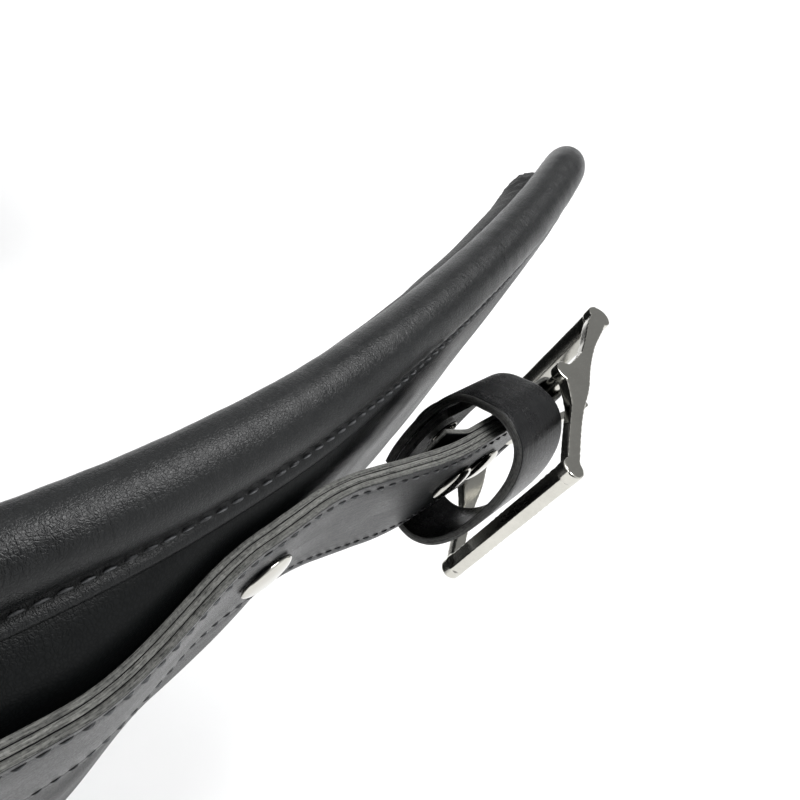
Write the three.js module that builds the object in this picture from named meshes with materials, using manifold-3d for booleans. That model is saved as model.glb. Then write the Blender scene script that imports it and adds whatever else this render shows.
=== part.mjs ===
// Trainer belly pad: a padded leather shell that wraps the front of the body, a padded rim roll round
// its edge, a buckle strap on the +X wing and a punched tail strap on the -X wing.
// Millimetres, +Z up, +Y toward the open back, standing on its lower edge at z = 0. The outline starts from a
// drawing origin on the rim's front centre line, and the last lines move everything to the footprint's middle.
import * as THREE from "three";
import { mergeVertices } from "three/addons/utils/BufferGeometryUtils.js";
import Module from "manifold-3d";

const wasm = await Module();
wasm.setup();
const { Manifold, Mesh: SolidMesh } = wasm;

const DEG = Math.PI / 180;

// ---- driving dimensions -------------------------------------------------------------------------
const GAP = 0.3;                 // clearance between touching pieces
const FRONT_DEPTH = 160;         // origin to the rim line at the front centre
const RIM_HEIGHT = 260;          // height of the rim line above the floor
const WING_HEIGHT = 112;         // rim line to lower rim line at the wing ends
const WING_CORNER = 38;          // rounding of the wing ends, seen from the side
const ROLL_RADIUS = 6.5;         // padded rim roll
const ROLL_WALL = 1.3;           // leather round the roll
const STRAP_WIDTH = 38;          // inch and a half strap
const LAYER_OUTER = 1.1;
const LAYER_MIDDLE = 1.0;
const LAYER_INNER = 1.1;
const LAYER_GAP = 0.2;
const STRAP_SLOPE = -0.13;       // the free strap drops this much for each millimetre of run
const STRAP_DROP = 29.5;         // rim line to strap centre line, along the tab
const RIVET_RADIUS = 6;
const BUCKLE_HALF_WIDTH = 26;
const BAR_RADIUS = 2;
const FOLD_RADIUS = 2.4;         // inside of the strap fold round the centre bar

// the rim line seen from above: turn in degrees, radius
const PLAN = [[40, 250], [42, 100], [22.5, 250], [15.4, 570]];
const arcLength = ([turn, radius]) => turn * DEG * radius;
const SIDE_START = arcLength(PLAN[0]) + arcLength(PLAN[1]);
const WING_END = SIDE_START + arcLength(PLAN[2]) + arcLength(PLAN[3]);
const SEAM = SIDE_START - 40;    // seam between the front and each wing
const STEP_START = SIDE_START + 38;
const STEP_END = SIDE_START + 72;
const TAB_START = SIDE_START - 34;
const RIVET_STATION = SIDE_START + 77;
const HINGE_STATION = SIDE_START + 83;

// the free buckle strap seen from above: turn in degrees, length
const BUCKLE_PATH = [[-16, 14], [0, 16], [10, 16], [1, 37]];
const TAIL_PATH = [[2, 60], [12, 100], [36, 40]];
const FOLD_RIVETS = [50, 62.5];  // distances from the hinge line to the fold rivets
const KEEPER_START = 50;
const KEEPER_LENGTH = 20;
const KEEPER_HALF_HEIGHT = 24.2; // to the middle of the leather
const KEEPER_HALF_DEPTH = 12.3;
const KEEPER_WALL = 2.2;
const KEEPER_SHIFT = -1;
const BAR_STATION = 83;

// ---- small helpers ------------------------------------------------------------------------------
const lerp = (a, b, t) => a + (b - a) * t;
const clamp01 = (t) => Math.min(1, Math.max(0, t));
const smooth = (t) => clamp01(t) ** 2 * (3 - 2 * clamp01(t));
const range = (count) => [...Array(count).keys()];
const steps = (from, to, count) => range(count + 1).map((i) => lerp(from, to, i / count));

// a point walked along a list of [turn, length] pieces; heading 0 is +Y and turns toward -X
function walk(start, pieces, distance) {
  let { x, y, heading } = start;
  let left = distance;
  for (const [turnDegrees, length] of pieces) {
    const run = Math.min(left, length);
    const turn = (turnDegrees * DEG * run) / length;
    const chord = Math.abs(turn) < 1e-9 ? run : (2 * Math.sin(turn / 2) * run) / turn;
    x -= Math.sin(heading + turn / 2) * chord;
    y += Math.cos(heading + turn / 2) * chord;
    heading += turn;
    left -= run;
    if (left <= 0) break;
  }
  x -= Math.sin(heading) * left;
  y += Math.cos(heading) * left;
  return { x, y, heading, nx: Math.cos(heading), ny: Math.sin(heading) };
}

const rimStart = { x: 0, y: -FRONT_DEPTH, heading: -90 * DEG };
const rimPieces = PLAN.map((piece) => [piece[0], arcLength(piece)]);

function rimPoint(station) {
  const point = walk(rimStart, rimPieces, Math.abs(station));
  if (station < 0) {
    point.x = -point.x;
    point.nx = -point.nx;
  }
  return point;
}

// a point on the pad: station along the rim, outward offset, height
function padPoint(station, offset, z) {
  const p = rimPoint(station);
  return [p.x + p.nx * offset, p.y + p.ny * offset, z];
}

function signedVolume(positions, indices) {
  let volume = 0;
  for (let i = 0; i < indices.length; i += 3) {
    const [a, b, c] = [0, 1, 2].map((k) => {
      const at = indices[i + k] * 3;
      return new THREE.Vector3(positions[at], positions[at + 1], positions[at + 2]);
    });
    volume += a.dot(b.cross(c)) / 6;
  }
  return volume;
}

function closedGeometry(positions, indices) {
  if (signedVolume(positions, indices) < 0) indices.reverse();
  const geometry = new THREE.BufferGeometry();
  geometry.setAttribute("position", new THREE.Float32BufferAttribute(positions, 3));
  geometry.setIndex(indices);
  return geometry;
}

// joins sections (lists of 2-D points, all the same length) placed one after another
function loft(sections, place, loop = false) {
  const count = sections[0].length;
  const positions = [];
  const indices = [];
  sections.forEach((section, i) => section.forEach(([a, b]) => positions.push(...place(i, a, b))));
  const last = loop ? sections.length : sections.length - 1;
  for (let i = 0; i < last; i += 1) {
    const here = i * count;
    const there = ((i + 1) % sections.length) * count;
    for (let k = 0; k < count; k += 1) {
      const next = (k + 1) % count;
      indices.push(here + k, there + k, there + next, here + k, there + next, here + next);
    }
  }
  if (!loop) {
    const cap = (index, flip) => {
      const outline = sections[index].map(([a, b]) => new THREE.Vector2(a, b));
      const backward = THREE.ShapeUtils.isClockWise(outline);
      const faces = THREE.ShapeUtils.triangulateShape(outline, []);
      faces.forEach(([a, b, c]) => {
        const base = index * count;
        const keep = flip === backward;
        indices.push(base + a, base + (keep ? b : c), base + (keep ? c : b));
      });
    };
    // the walls above run one way round a counter-clockwise section, so the two caps face apart
    cap(0, false);
    cap(sections.length - 1, true);
  }
  return closedGeometry(positions, indices);
}

// unit normals of a 2-D polyline, pointing to the right of travel
function normalsOf(points) {
  return points.map((p, i) => {
    const before = points[Math.max(0, i - 1)];
    const after = points[Math.min(points.length - 1, i + 1)];
    const dx = after[0] - before[0];
    const dy = after[1] - before[1];
    const size = Math.hypot(dx, dy) || 1;
    return [dy / size, -dx / size];
  });
}

function offsetLine(points, distance) {
  const normals = normalsOf(points);
  return points.map(([a, b], i) => [a + normals[i][0] * distance, b + normals[i][1] * distance]);
}

// a band: a 2-D centre line given thickness, then height between low(i) and high(i)
function band(points, thickness, low, high, place) {
  const left = offsetLine(points, -thickness / 2);
  const right = offsetLine(points, thickness / 2);
  const sections = points.map((_, i) => [[0, low(i)], [1, low(i)], [1, high(i)], [0, high(i)]]);
  return loft(sections, (i, side, c) => place(...(side ? right[i] : left[i]), c, i));
}

function toSolid(source) {
  const plain = new THREE.BufferGeometry();
  plain.setAttribute("position", source.getAttribute("position").clone());
  if (source.getIndex()) plain.setIndex(source.getIndex().clone());
  const merged = mergeVertices(plain, 1e-4);
  const index = merged.getIndex().array;
  const kept = [];
  for (let i = 0; i < index.length; i += 3) {
    const [a, b, c] = [index[i], index[i + 1], index[i + 2]];
    if (a !== b && b !== c && a !== c) kept.push(a, b, c);
  }
  return new Manifold(new SolidMesh({
    numProp: 3,
    vertProperties: Float32Array.from(merged.getAttribute("position").array),
    triVerts: Uint32Array.from(kept),
  }));
}

function fromSolid(solid) {
  const mesh = solid.getMesh();
  return closedGeometry(Array.from(mesh.vertProperties), Array.from(mesh.triVerts));
}

const join = (parts) => fromSolid(parts.map(toSolid).reduce((all, part) => all.add(part)));
const cut = (body, tools) => fromSolid(tools.reduce((all, tool) => all.subtract(toSolid(tool)), toSolid(body)));

function moved(geometry, matrix) {
  const copy = geometry.clone().applyMatrix4(matrix);
  const index = copy.getIndex() ? Array.from(copy.getIndex().array) : null;
  return index ? closedGeometry(Array.from(copy.getAttribute("position").array), index) : copy;
}

const mirrored = (geometry) => moved(geometry, new THREE.Matrix4().makeScale(-1, 1, 1));

// a solid of revolution about +Z from a [radius, z] outline
function revolve(outline, segments) {
  const shape = outline.map(([r, z]) => new THREE.Vector2(r, z));
  const positions = [];
  const rows = shape.map((point) => {
    const row = [];
    const turns = point.x < 1e-6 ? 1 : segments;
    for (const k of range(turns)) {
      const angle = (2 * Math.PI * k) / segments;
      row.push(positions.length / 3);
      positions.push(point.x * Math.cos(angle), point.x * Math.sin(angle), point.y);
    }
    return row;
  });
  const indices = [];
  rows.forEach((row, i) => {
    const next = rows[(i + 1) % rows.length];
    if (row.length === 1 && next.length === 1) return;
    for (const k of range(segments)) {
      const a = row[k % row.length];
      const b = row[(k + 1) % row.length];
      const c = next[k % next.length];
      const d = next[(k + 1) % next.length];
      if (a !== b) indices.push(a, b, c);
      if (c !== d) indices.push(b, d, c);
    }
  });
  return closedGeometry(positions, indices);
}

const cylinder = (radius, low, high, segments = 14) =>
  revolve([[0, low], [radius, low], [radius, high], [0, high]], segments);

// a matrix that carries local x, y, z onto three unit directions at a place
function frameAt(origin, xAxis, yAxis, zAxis) {
  return new THREE.Matrix4().makeBasis(xAxis, yAxis, zAxis).setPosition(origin);
}

// ---- pad body -----------------------------------------------------------------------------------
function lowerRim(station) {
  const rise = smooth((Math.abs(station) - (SIDE_START - 30)) / 150);
  return lerp(ROLL_RADIUS, RIM_HEIGHT - WING_HEIGHT, rise);
}

// upper and lower outline of the pad at a station, with the wing end rounded off
function outlineAt(station, inset) {
  const end = WING_END - inset;
  const radius = WING_CORNER - inset;
  const past = Math.max(0, Math.abs(station) - (end - radius));
  const cornerDrop = radius - Math.sqrt(Math.max(0, radius ** 2 - past ** 2));
  const slope = (lowerRim(station + 1) - lowerRim(station - 1)) / 2;
  const lift = inset * Math.hypot(1, slope);
  return [lowerRim(station) + lift + cornerDrop, RIM_HEIGHT - inset - cornerDrop];
}

const PANEL_INSET = 5.4;
const FOAM_INSET = 7.5;
const EDGE_OFFSET = 4.6;

function outerBulge(station) {
  const s = Math.abs(station);
  const body = lerp(30, 18, smooth((s - 90) / (STEP_START - 100)));
  const wing = lerp(10.6, 7.4, smooth((s - STEP_END - 14) / 40));
  return lerp(body, wing, smooth((s - STEP_START) / (STEP_END - STEP_START)));
}

const innerBulge = (station) => lerp(15, 11.5, smooth((Math.abs(station) - 150) / 200));

const rise = (distance, depth) => Math.sqrt(Math.max(0, 1 - (1 - clamp01(distance / depth)) ** 2));

// [offset, z] points from the top edge to the bottom edge of one face of the pad
function faceLine(station, bulge, side) {
  const [low, high] = outlineAt(station, PANEL_INSET);
  const tall = high - low;
  const nearEnd = rise(WING_END - PANEL_INSET - Math.abs(station), 16);
  const edge = Math.min(0.4, 14 / tall);
  const shares = [0, 0.08, 0.32, 1].map((t) => t * edge);
  const all = [...shares, 0.5, ...shares.slice().reverse().map((t) => 1 - t)];
  return all.map((t) => {
    const fromEdge = Math.min(t, 1 - t) * tall;
    const out = EDGE_OFFSET + (bulge - EDGE_OFFSET) * rise(fromEdge, edge * tall) * nearEnd;
    return [side * out, high - t * tall];
  });
}

function faceSheet(stations, bulgeAt, side, thickness) {
  const sections = stations.map((station) => {
    const line = faceLine(station, bulgeAt(station), side);
    return [...line, ...offsetLine(line, side * thickness).reverse()];
  });
  return loft(sections, (i, offset, z) => padPoint(stations[i], offset, z));
}

function foamCore(stations, coverDepth, liningDepth) {
  const sections = stations.map((station) => {
    const outer = offsetLine(faceLine(station, outerBulge(station), 1), coverDepth);
    const inner = offsetLine(faceLine(station, innerBulge(station), -1), -liningDepth);
    const [low, high] = outlineAt(station, FOAM_INSET);
    const within = ([offset, z]) => [offset, Math.min(high, Math.max(low, z))];
    return [...outer, ...inner.reverse()].map(within);
  });
  return loft(sections, (i, offset, z) => padPoint(stations[i], offset, z));
}

const COVER = 1.6;
const LINING = 1.4;
const frontStations = steps(-SEAM + GAP, SEAM - GAP, 18);
const wingStations = [
  ...steps(SEAM + GAP, STEP_START, 4),
  ...steps(STEP_START, STEP_END, 4).slice(1),
  ...steps(STEP_END, WING_END - 26, 8).slice(1),
  ...[17, 11, 7.4].map((d) => WING_END - d),
];

// the edge of the pad, seen unrolled: station and height, walked once all the way round
function rimLoop() {
  const top = steps(0, WING_END - WING_CORNER, 19).map((s) => [s, RIM_HEIGHT]);
  const corner = (centreZ, from) => range(6).map((i) => {
    const angle = (from - i * 18) * DEG;
    const s = WING_END - WING_CORNER + WING_CORNER * Math.cos(angle);
    return [s, centreZ + WING_CORNER * Math.sin(angle)];
  });
  const upper = corner(RIM_HEIGHT - WING_CORNER, 90).slice(1);
  const lower = corner(RIM_HEIGHT - WING_HEIGHT + WING_CORNER, 0);
  const middle = [[WING_END, RIM_HEIGHT - WING_HEIGHT / 2]];
  const bottom = steps(WING_END - WING_CORNER, 0, 30).slice(1).map((s) => [s, lowerRim(s)]);
  const half = [...top, ...upper, ...middle, ...lower, ...bottom];
  const other = half.slice(1, -1).reverse().map(([s, z]) => [-s, z]);
  return [...half, ...other];
}

// a section swept once round the rim; a is outward from the pad face, b is away from the pad
function sweepRim(section) {
  const loop = rimLoop();
  const away = loop.map((_, i) => {
    const before = loop[(i + loop.length - 1) % loop.length];
    const after = loop[(i + 1) % loop.length];
    const size = Math.hypot(after[0] - before[0], after[1] - before[1]);
    return [-(after[1] - before[1]) / size, (after[0] - before[0]) / size];
  });
  const place = (i, a, b) => padPoint(loop[i][0] + away[i][0] * b, a, loop[i][1] + away[i][1] * b);
  return loft(loop.map(() => section), place, true);
}

// an open ring: leather wrapped round the roll, with its slit toward the pad
function rollCover() {
  const ring = (radius, from, to) => steps(from, to, 6).map((degrees) => [
    radius * Math.cos(degrees * DEG), radius * Math.sin(degrees * DEG)]);
  return sweepRim([...ring(ROLL_RADIUS, -72, 252), ...ring(ROLL_RADIUS - ROLL_WALL, 252, -72)]);
}

const rollFiller = () => sweepRim(range(6).map((i) => {
  const angle = i * 60 * DEG;
  const radius = (ROLL_RADIUS - ROLL_WALL - GAP) * 0.86;
  return [radius * Math.cos(angle), radius * Math.sin(angle)];
}));

// ---- straps -------------------------------------------------------------------------------------
const strapHeight = (distance) => RIM_HEIGHT - STRAP_DROP + STRAP_SLOPE * Math.max(0, distance);
const STRAP_THICKNESS = LAYER_OUTER + LAYER_MIDDLE + LAYER_INNER + 2 * LAYER_GAP;

// the outer surface of the strap stack over the tab, as plan points
function tabLine(stations) {
  return stations.map((station) => {
    const [x, y] = padPoint(station, outerBulge(station) + GAP + STRAP_THICKNESS, 0);
    return [x, y];
  });
}

// half width of the tab: an ogee that flares from the strap and closes to a rounded end
function tabHalfWidth(station) {
  const flare = lerp(STRAP_WIDTH / 2, 33, smooth((STEP_START + 10 - station) / 62));
  const closing = clamp01((station - TAB_START) / 20);
  return flare * Math.sqrt(Math.max(0.05, 1 - (1 - closing) ** 2));
}

function tabLayer(depth, thickness) {
  const stations = [...steps(TAB_START, TAB_START + 20, 5), ...steps(TAB_START + 20, HINGE_STATION - 0.4, 13).slice(1)];
  const centre = offsetLine(tabLine(stations), -(depth + thickness / 2));
  const middle = strapHeight(0);
  const drop = (i) => middle - (tabHalfWidth(stations[i]) - STRAP_WIDTH / 2) * 0.8;
  const low = (i) => drop(i) - tabHalfWidth(stations[i]);
  const high = (i) => drop(i) + tabHalfWidth(stations[i]);
  return band(centre, thickness, low, high, (x, y, z) => [x, y, z]);
}

// where the free straps start: the outer surface of the tab at the hinge line
function strapOrigin() {
  const [before, here] = tabLine([HINGE_STATION - 1, HINGE_STATION]);
  const heading = Math.atan2(-(here[0] - before[0]), here[1] - before[1]);
  return { x: here[0], y: here[1], heading };
}

const hingeStart = strapOrigin();

// a plan point on the free strap: distance from the hinge and depth behind its outer surface
function strapPoint(path, distance, depth) {
  const p = walk(hingeStart, path, distance);
  return [p.x - p.nx * depth, p.y - p.ny * depth];
}

function strapFrame(path, distance, depth) {
  const p = walk(hingeStart, path, distance);
  const along = new THREE.Vector3(-Math.sin(p.heading), Math.cos(p.heading), STRAP_SLOPE).normalize();
  const out = new THREE.Vector3(p.nx, p.ny, 0);
  const across = new THREE.Vector3().crossVectors(out, along);
  const origin = new THREE.Vector3(...strapPoint(path, distance, depth), strapHeight(distance));
  return { matrix: frameAt(origin, out, along, across), origin, out, along, across };
}

// a point on the sloping strap: its edges stay square to its run, so the upper edge leans forward
function leaning(path, distance, x, y, z) {
  const { heading } = walk(hingeStart, path, distance);
  const lean = -STRAP_SLOPE * smooth(distance / 30) * (z - strapHeight(distance));
  return [x - Math.sin(heading) * lean, y + Math.cos(heading) * lean, z];
}

function strapLayer(path, from, to, count, depth, thickness, halfWidth = () => STRAP_WIDTH / 2) {
  const distances = steps(from, to, count);
  const centre = distances.map((d) => strapPoint(path, d, depth + thickness / 2));
  const low = (i) => strapHeight(distances[i]) - halfWidth(distances[i]);
  const high = (i) => strapHeight(distances[i]) + halfWidth(distances[i]);
  return band(centre, thickness, low, high, (x, y, z, i) => leaning(path, distances[i], x, y, z));
}

// the outer layer runs to the centre bar, folds round it and comes back inside the strap
function foldedLayer() {
  const barDepth = LAYER_OUTER + FOLD_RADIUS;
  const backDepth = STRAP_THICKNESS + LAYER_GAP + LAYER_OUTER / 2;
  const foldDepth = barDepth + FOLD_RADIUS + LAYER_OUTER / 2;
  const out = steps(0.4, BAR_STATION, 14).map((d) => [d, LAYER_OUTER / 2, d]);
  const turn = steps(15, 165, 5).map((degrees) => {
    const radius = FOLD_RADIUS + LAYER_OUTER / 2;
    const ahead = radius * Math.sin(degrees * DEG);
    return [BAR_STATION + ahead, barDepth - radius * Math.cos(degrees * DEG), BAR_STATION + ahead];
  });
  const back = steps(BAR_STATION, 37, 12).map((d) => {
    const spread = smooth((d - 66) / 14);
    const curl = 2.4 * smooth((45 - d) / 9);
    return [d, lerp(backDepth, foldDepth, spread) + curl, d];
  });
  const all = [...out, ...turn, ...back];
  const last = walk(hingeStart, BUCKLE_PATH, BAR_STATION);
  const centre = all.map(([distance, depth]) => {
    if (distance <= BAR_STATION) return strapPoint(BUCKLE_PATH, distance, depth);
    const past = distance - BAR_STATION;
    return [
      last.x - last.nx * depth - Math.sin(last.heading) * past,
      last.y - last.ny * depth + Math.cos(last.heading) * past,
    ];
  });
  const low = (i) => strapHeight(all[i][2]) - STRAP_WIDTH / 2;
  const high = (i) => strapHeight(all[i][2]) + STRAP_WIDTH / 2;
  return band(centre, LAYER_OUTER, low, high, (x, y, z, i) => leaning(BUCKLE_PATH, all[i][2], x, y, z));
}

// ---- rivets -------------------------------------------------------------------------------------
// local x of a rivet frame points out of the leather; the revolve axis +Z is turned onto it
function alongOut(frame) {
  return frameAt(frame.origin, frame.across, frame.along.clone().negate(), frame.out);
}

const DOME_HEIGHT = 1.9;
const POST_RADIUS = 1.6;

function rivetCap(frame, grip, radius = RIVET_RADIUS) {
  const dome = steps(0, 90, 4).map((degrees) => [
    radius * Math.cos(degrees * DEG), GAP + 0.5 + (DOME_HEIGHT - 0.5) * Math.sin(degrees * DEG)]);
  dome[dome.length - 1][0] = 0;
  const outline = [[0, -grip - 0.2], [POST_RADIUS, -grip - 0.2], [POST_RADIUS, GAP], [radius, GAP], ...dome];
  return moved(revolve(outline, 14), alongOut(frame));
}

function rivetBack(frame, grip, radius = 4.6) {
  const top = -grip - GAP;
  const outline = [
    [POST_RADIUS + GAP, top], [POST_RADIUS + GAP, top - 0.5], [0, top - 0.5], [0, top - 1.3],
    [radius - 1.2, top - 1.3], [radius, top - 0.5], [radius, top],
  ];
  return moved(revolve(outline, 14), alongOut(frame));
}

const rivetHole = (frame, radius = POST_RADIUS + GAP, low = -14, high = 6) =>
  moved(cylinder(radius, low, high, 10), alongOut(frame));

function tabRivetFrame() {
  const [before, here] = tabLine([RIVET_STATION - 0.5, RIVET_STATION + 0.5]);
  const along = new THREE.Vector3(here[0] - before[0], here[1] - before[1], 0).normalize();
  const across = new THREE.Vector3(0, 0, 1);
  const out = new THREE.Vector3().crossVectors(along, across);
  const origin = new THREE.Vector3((here[0] + before[0]) / 2, (here[1] + before[1]) / 2, strapHeight(0));
  return { origin, out, along, across };
}

// ---- keeper loop --------------------------------------------------------------------------------
const keeperFrame = strapFrame(BUCKLE_PATH, KEEPER_START, 0);

function keeperPoint(degrees, extra) {
  const power = 0.85;
  const shape = (value) => Math.sign(value) * Math.abs(value) ** power;
  const deep = KEEPER_HALF_DEPTH + extra;
  const tall = KEEPER_HALF_HEIGHT + extra;
  return [KEEPER_SHIFT + deep * shape(Math.cos(degrees * DEG)), tall * shape(Math.sin(degrees * DEG))];
}

// one strip of leather rolled into an oval, its ends lapped on the side next to the pad
function keeperLoop() {
  const lap = 26;
  const points = steps(180 - lap, 540 + lap, 34).map((degrees) => {
    const extra = (KEEPER_WALL + GAP + 0.1) * smooth((degrees - 470) / (540 - lap - 6 - 470));
    return keeperPoint(degrees, extra);
  });
  const place = (n, w, t) => new THREE.Vector3(n, t, w).applyMatrix4(keeperFrame.matrix).toArray();
  return band(points, KEEPER_WALL, () => 0, () => KEEPER_LENGTH, place);
}

function keeperRivetFrame() {
  const [n] = keeperPoint(180, 0);
  const lapped = KEEPER_WALL / 2 + KEEPER_WALL + GAP + 0.1;
  const origin = new THREE.Vector3(n - lapped, KEEPER_LENGTH / 2, 0).applyMatrix4(keeperFrame.matrix);
  const out = keeperFrame.out.clone().negate();
  return { origin, out, along: keeperFrame.along, across: new THREE.Vector3().crossVectors(out, keeperFrame.along) };
}

// ---- buckle -------------------------------------------------------------------------------------
// local x points outward, y along the strap, z across it; the centre bar is the origin
const barFrame = strapFrame(BUCKLE_PATH, BAR_STATION, LAYER_OUTER + FOLD_RADIUS);
const HEEL_REACH = 33.5;
const HEEL_ANGLE = 36;
const ROLLER_REACH = 38;
const ROLLER_ANGLE = 14.6;
const RAIL_THICK = 3.2;
const RAIL_HALF = 2.5;
const ROLLER_RADIUS = 3.6;
const ROLLER_PIN = 1.7;
const ROLLER_BORE = ROLLER_PIN + 0.12;
const heelPoint = [HEEL_REACH * Math.sin(HEEL_ANGLE * DEG), -HEEL_REACH * Math.cos(HEEL_ANGLE * DEG)];
const rollerPoint = [-ROLLER_REACH * Math.sin(ROLLER_ANGLE * DEG), ROLLER_REACH * Math.cos(ROLLER_ANGLE * DEG)];

function extruded(outline, low, high) {
  const shape = new THREE.Shape(outline.map(([x, y]) => new THREE.Vector2(x, y)));
  const geometry = new THREE.ExtrudeGeometry(shape, {
    depth: high - low - 1, bevelEnabled: true, bevelThickness: 0.5, bevelSize: 0.45, bevelOffset: -0.45,
    bevelSegments: 1, curveSegments: 4,
  });
  return geometry.translate(0, 0, low + 0.5);
}

// the bowed side rail: a bent strip from the heel corner past the centre bar to the roller
function railOutline() {
  const bend = [3.4, 1];
  const line = steps(0, 1, 9).map((t) => {
    const blend = (k) => (1 - t) ** 2 * heelPoint[k] + 2 * t * (1 - t) * bend[k] + t ** 2 * rollerPoint[k];
    return [blend(0), blend(1)];
  });
  return [...offsetLine(line, RAIL_HALF), ...offsetLine(line, -RAIL_HALF).reverse()];
}

function buckleFrame() {
  const inner = BUCKLE_HALF_WIDTH - RAIL_THICK;
  const at = ([x, y], part) => part.translate(x, y, 0);
  const heelDirection = Math.atan2(heelPoint[1], heelPoint[0]);
  const parts = [];
  for (const [low, high] of [[inner, BUCKLE_HALF_WIDTH], [-BUCKLE_HALF_WIDTH, -inner]]) {
    parts.push(extruded(railOutline(), low, high));
    parts.push(cylinder(3.3, low + 0.2, high - 0.2));
    parts.push(at(rollerPoint, cylinder(3.4, low, high)));
  }
  parts.push(cylinder(BAR_RADIUS, -inner - 1, inner + 1));
  parts.push(at(rollerPoint, cylinder(ROLLER_PIN, -inner - 1, inner + 1)));
  const heel = extruded([[-3, -1.7], [2.4, -1.7], [2.4, 1.9], [-3, 1.9]], -BUCKLE_HALF_WIDTH, BUCKLE_HALF_WIDTH);
  parts.push(heel.rotateZ(heelDirection).translate(heelPoint[0], heelPoint[1], 0));
  return moved(join(parts), barFrame.matrix);
}

function buckleRoller() {
  const half = BUCKLE_HALF_WIDTH - RAIL_THICK - 0.4;
  const outline = [[ROLLER_BORE, -half], [ROLLER_RADIUS - 0.3, -half], [ROLLER_RADIUS, -half + 0.3],
    [ROLLER_RADIUS, half - 0.3], [ROLLER_RADIUS - 0.3, half], [ROLLER_BORE, half]];
  return moved(revolve(outline, 18).translate(rollerPoint[0], rollerPoint[1], 0), barFrame.matrix);
}

const PRONG_LENGTH = 39;
const PRONG_ANGLE = 12;
const PRONG_BORE = BAR_RADIUS + 0.12;

function buckleProng() {
  const line = steps(0, 1, 8).map((t) => [1.1 * Math.sin(Math.PI * t) - 1.2 * t ** 4, 2.9 + t * (PRONG_LENGTH - 2.9)]);
  const half = (t) => lerp(1.5, 1.15, t);
  const side = (sign) => line.map(([x, y], i) => [x + sign * half(i / 8), y]);
  const tip = [[line[8][0] + 0.6, PRONG_LENGTH + 0.9], [line[8][0] - 0.6, PRONG_LENGTH + 0.9]];
  const blade = extruded([...side(1), ...tip, ...side(-1).reverse()], -1.8, 1.8);
  const ring = revolve([[PRONG_BORE, -2.9], [4, -2.9], [4, 2.9], [PRONG_BORE, 2.9]], 18);
  const prong = join([blade, ring]).rotateZ(-PRONG_ANGLE * DEG);
  return moved(prong, barFrame.matrix);
}

// clear room for the prong's ring through the folded leather
const prongSlot = () => moved(
  new THREE.BoxGeometry(18, 16, 6.6).translate(0, -1, 0), barFrame.matrix);

// ---- assembly -----------------------------------------------------------------------------------
const belly = new THREE.Group();
belly.name = "trainer_belly_pad";

function add(name, geometry, color, metalness = 0, roughness = 0.6) {
  const material = new THREE.MeshStandardMaterial({ color, metalness, roughness, name: `${name}_material` });
  const mesh = new THREE.Mesh(geometry, material);
  mesh.name = name;
  belly.add(mesh);
}

const LEATHER = 0x16181a;
const FOAM = 0xb9bcb4;
const NICKEL = 0xb8b5a8;

const rivetOne = tabRivetFrame();
const tabGrip = STRAP_THICKNESS + GAP + COVER;
const coverHole = rivetHole(rivetOne);
const foamPocket = rivetHole(rivetOne, 5.6, -tabGrip - 4, -tabGrip - 0.02 + 0.4);

const wingPieces = {
  wing_cover: [cut(faceSheet(wingStations, outerBulge, 1, COVER), [coverHole]), LEATHER],
  wing_foam: [cut(foamCore(wingStations, COVER + GAP, LINING + GAP), [foamPocket]), FOAM],
  wing_lining: [faceSheet(wingStations, innerBulge, -1, LINING), LEATHER],
  tab_outer: [cut(tabLayer(0, LAYER_OUTER), [coverHole]), LEATHER],
  tab_middle: [cut(tabLayer(LAYER_OUTER + LAYER_GAP, LAYER_MIDDLE), [coverHole]), LEATHER],
  tab_inner: [cut(tabLayer(LAYER_OUTER + LAYER_MIDDLE + 2 * LAYER_GAP, LAYER_INNER), [coverHole]), LEATHER],
  tab_rivet_cap: [rivetCap(rivetOne, tabGrip), NICKEL],
  tab_rivet_back: [rivetBack(rivetOne, tabGrip), NICKEL],
};

add("front_cover", faceSheet(frontStations, outerBulge, 1, COVER), LEATHER);
add("front_foam", foamCore(frontStations, COVER + GAP, LINING + GAP), FOAM);
add("front_lining", faceSheet(frontStations, innerBulge, -1, LINING), LEATHER);
for (const [name, [geometry, color]] of Object.entries(wingPieces)) {
  const metal = color === NICKEL ? 1 : 0;
  add(`right_${name}`, geometry, color, metal, metal ? 0.25 : 0.6);
  add(`left_${name}`, mirrored(geometry), color, metal, metal ? 0.25 : 0.6);
}
add("rim_roll_cover", rollCover(), LEATHER);
add("rim_roll_filler", rollFiller(), FOAM);

// buckle strap
const foldGrip = STRAP_THICKNESS + LAYER_GAP + LAYER_OUTER;
const foldFrames = FOLD_RIVETS.map((distance) => strapFrame(BUCKLE_PATH, distance, 0));
const foldHoles = foldFrames.map((frame) => rivetHole(frame));
const middleDepth = LAYER_OUTER + LAYER_GAP;
const innerDepth = middleDepth + LAYER_MIDDLE + LAYER_GAP;
const LAYER_STOP = 72;
add("buckle_strap_outer", cut(foldedLayer(), [...foldHoles, prongSlot()]), LEATHER);
add("buckle_strap_middle",
  cut(strapLayer(BUCKLE_PATH, 0.4, LAYER_STOP, 12, middleDepth, LAYER_MIDDLE), foldHoles), LEATHER);
add("buckle_strap_inner",
  cut(strapLayer(BUCKLE_PATH, 0.4, LAYER_STOP, 12, innerDepth, LAYER_INNER), foldHoles), LEATHER);
foldFrames.forEach((frame, i) => {
  add(`fold_rivet_cap_${i + 1}`, rivetCap(frame, foldGrip), NICKEL, 1, 0.25);
  add(`fold_rivet_back_${i + 1}`, rivetBack(frame, foldGrip), NICKEL, 1, 0.25);
});

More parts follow.
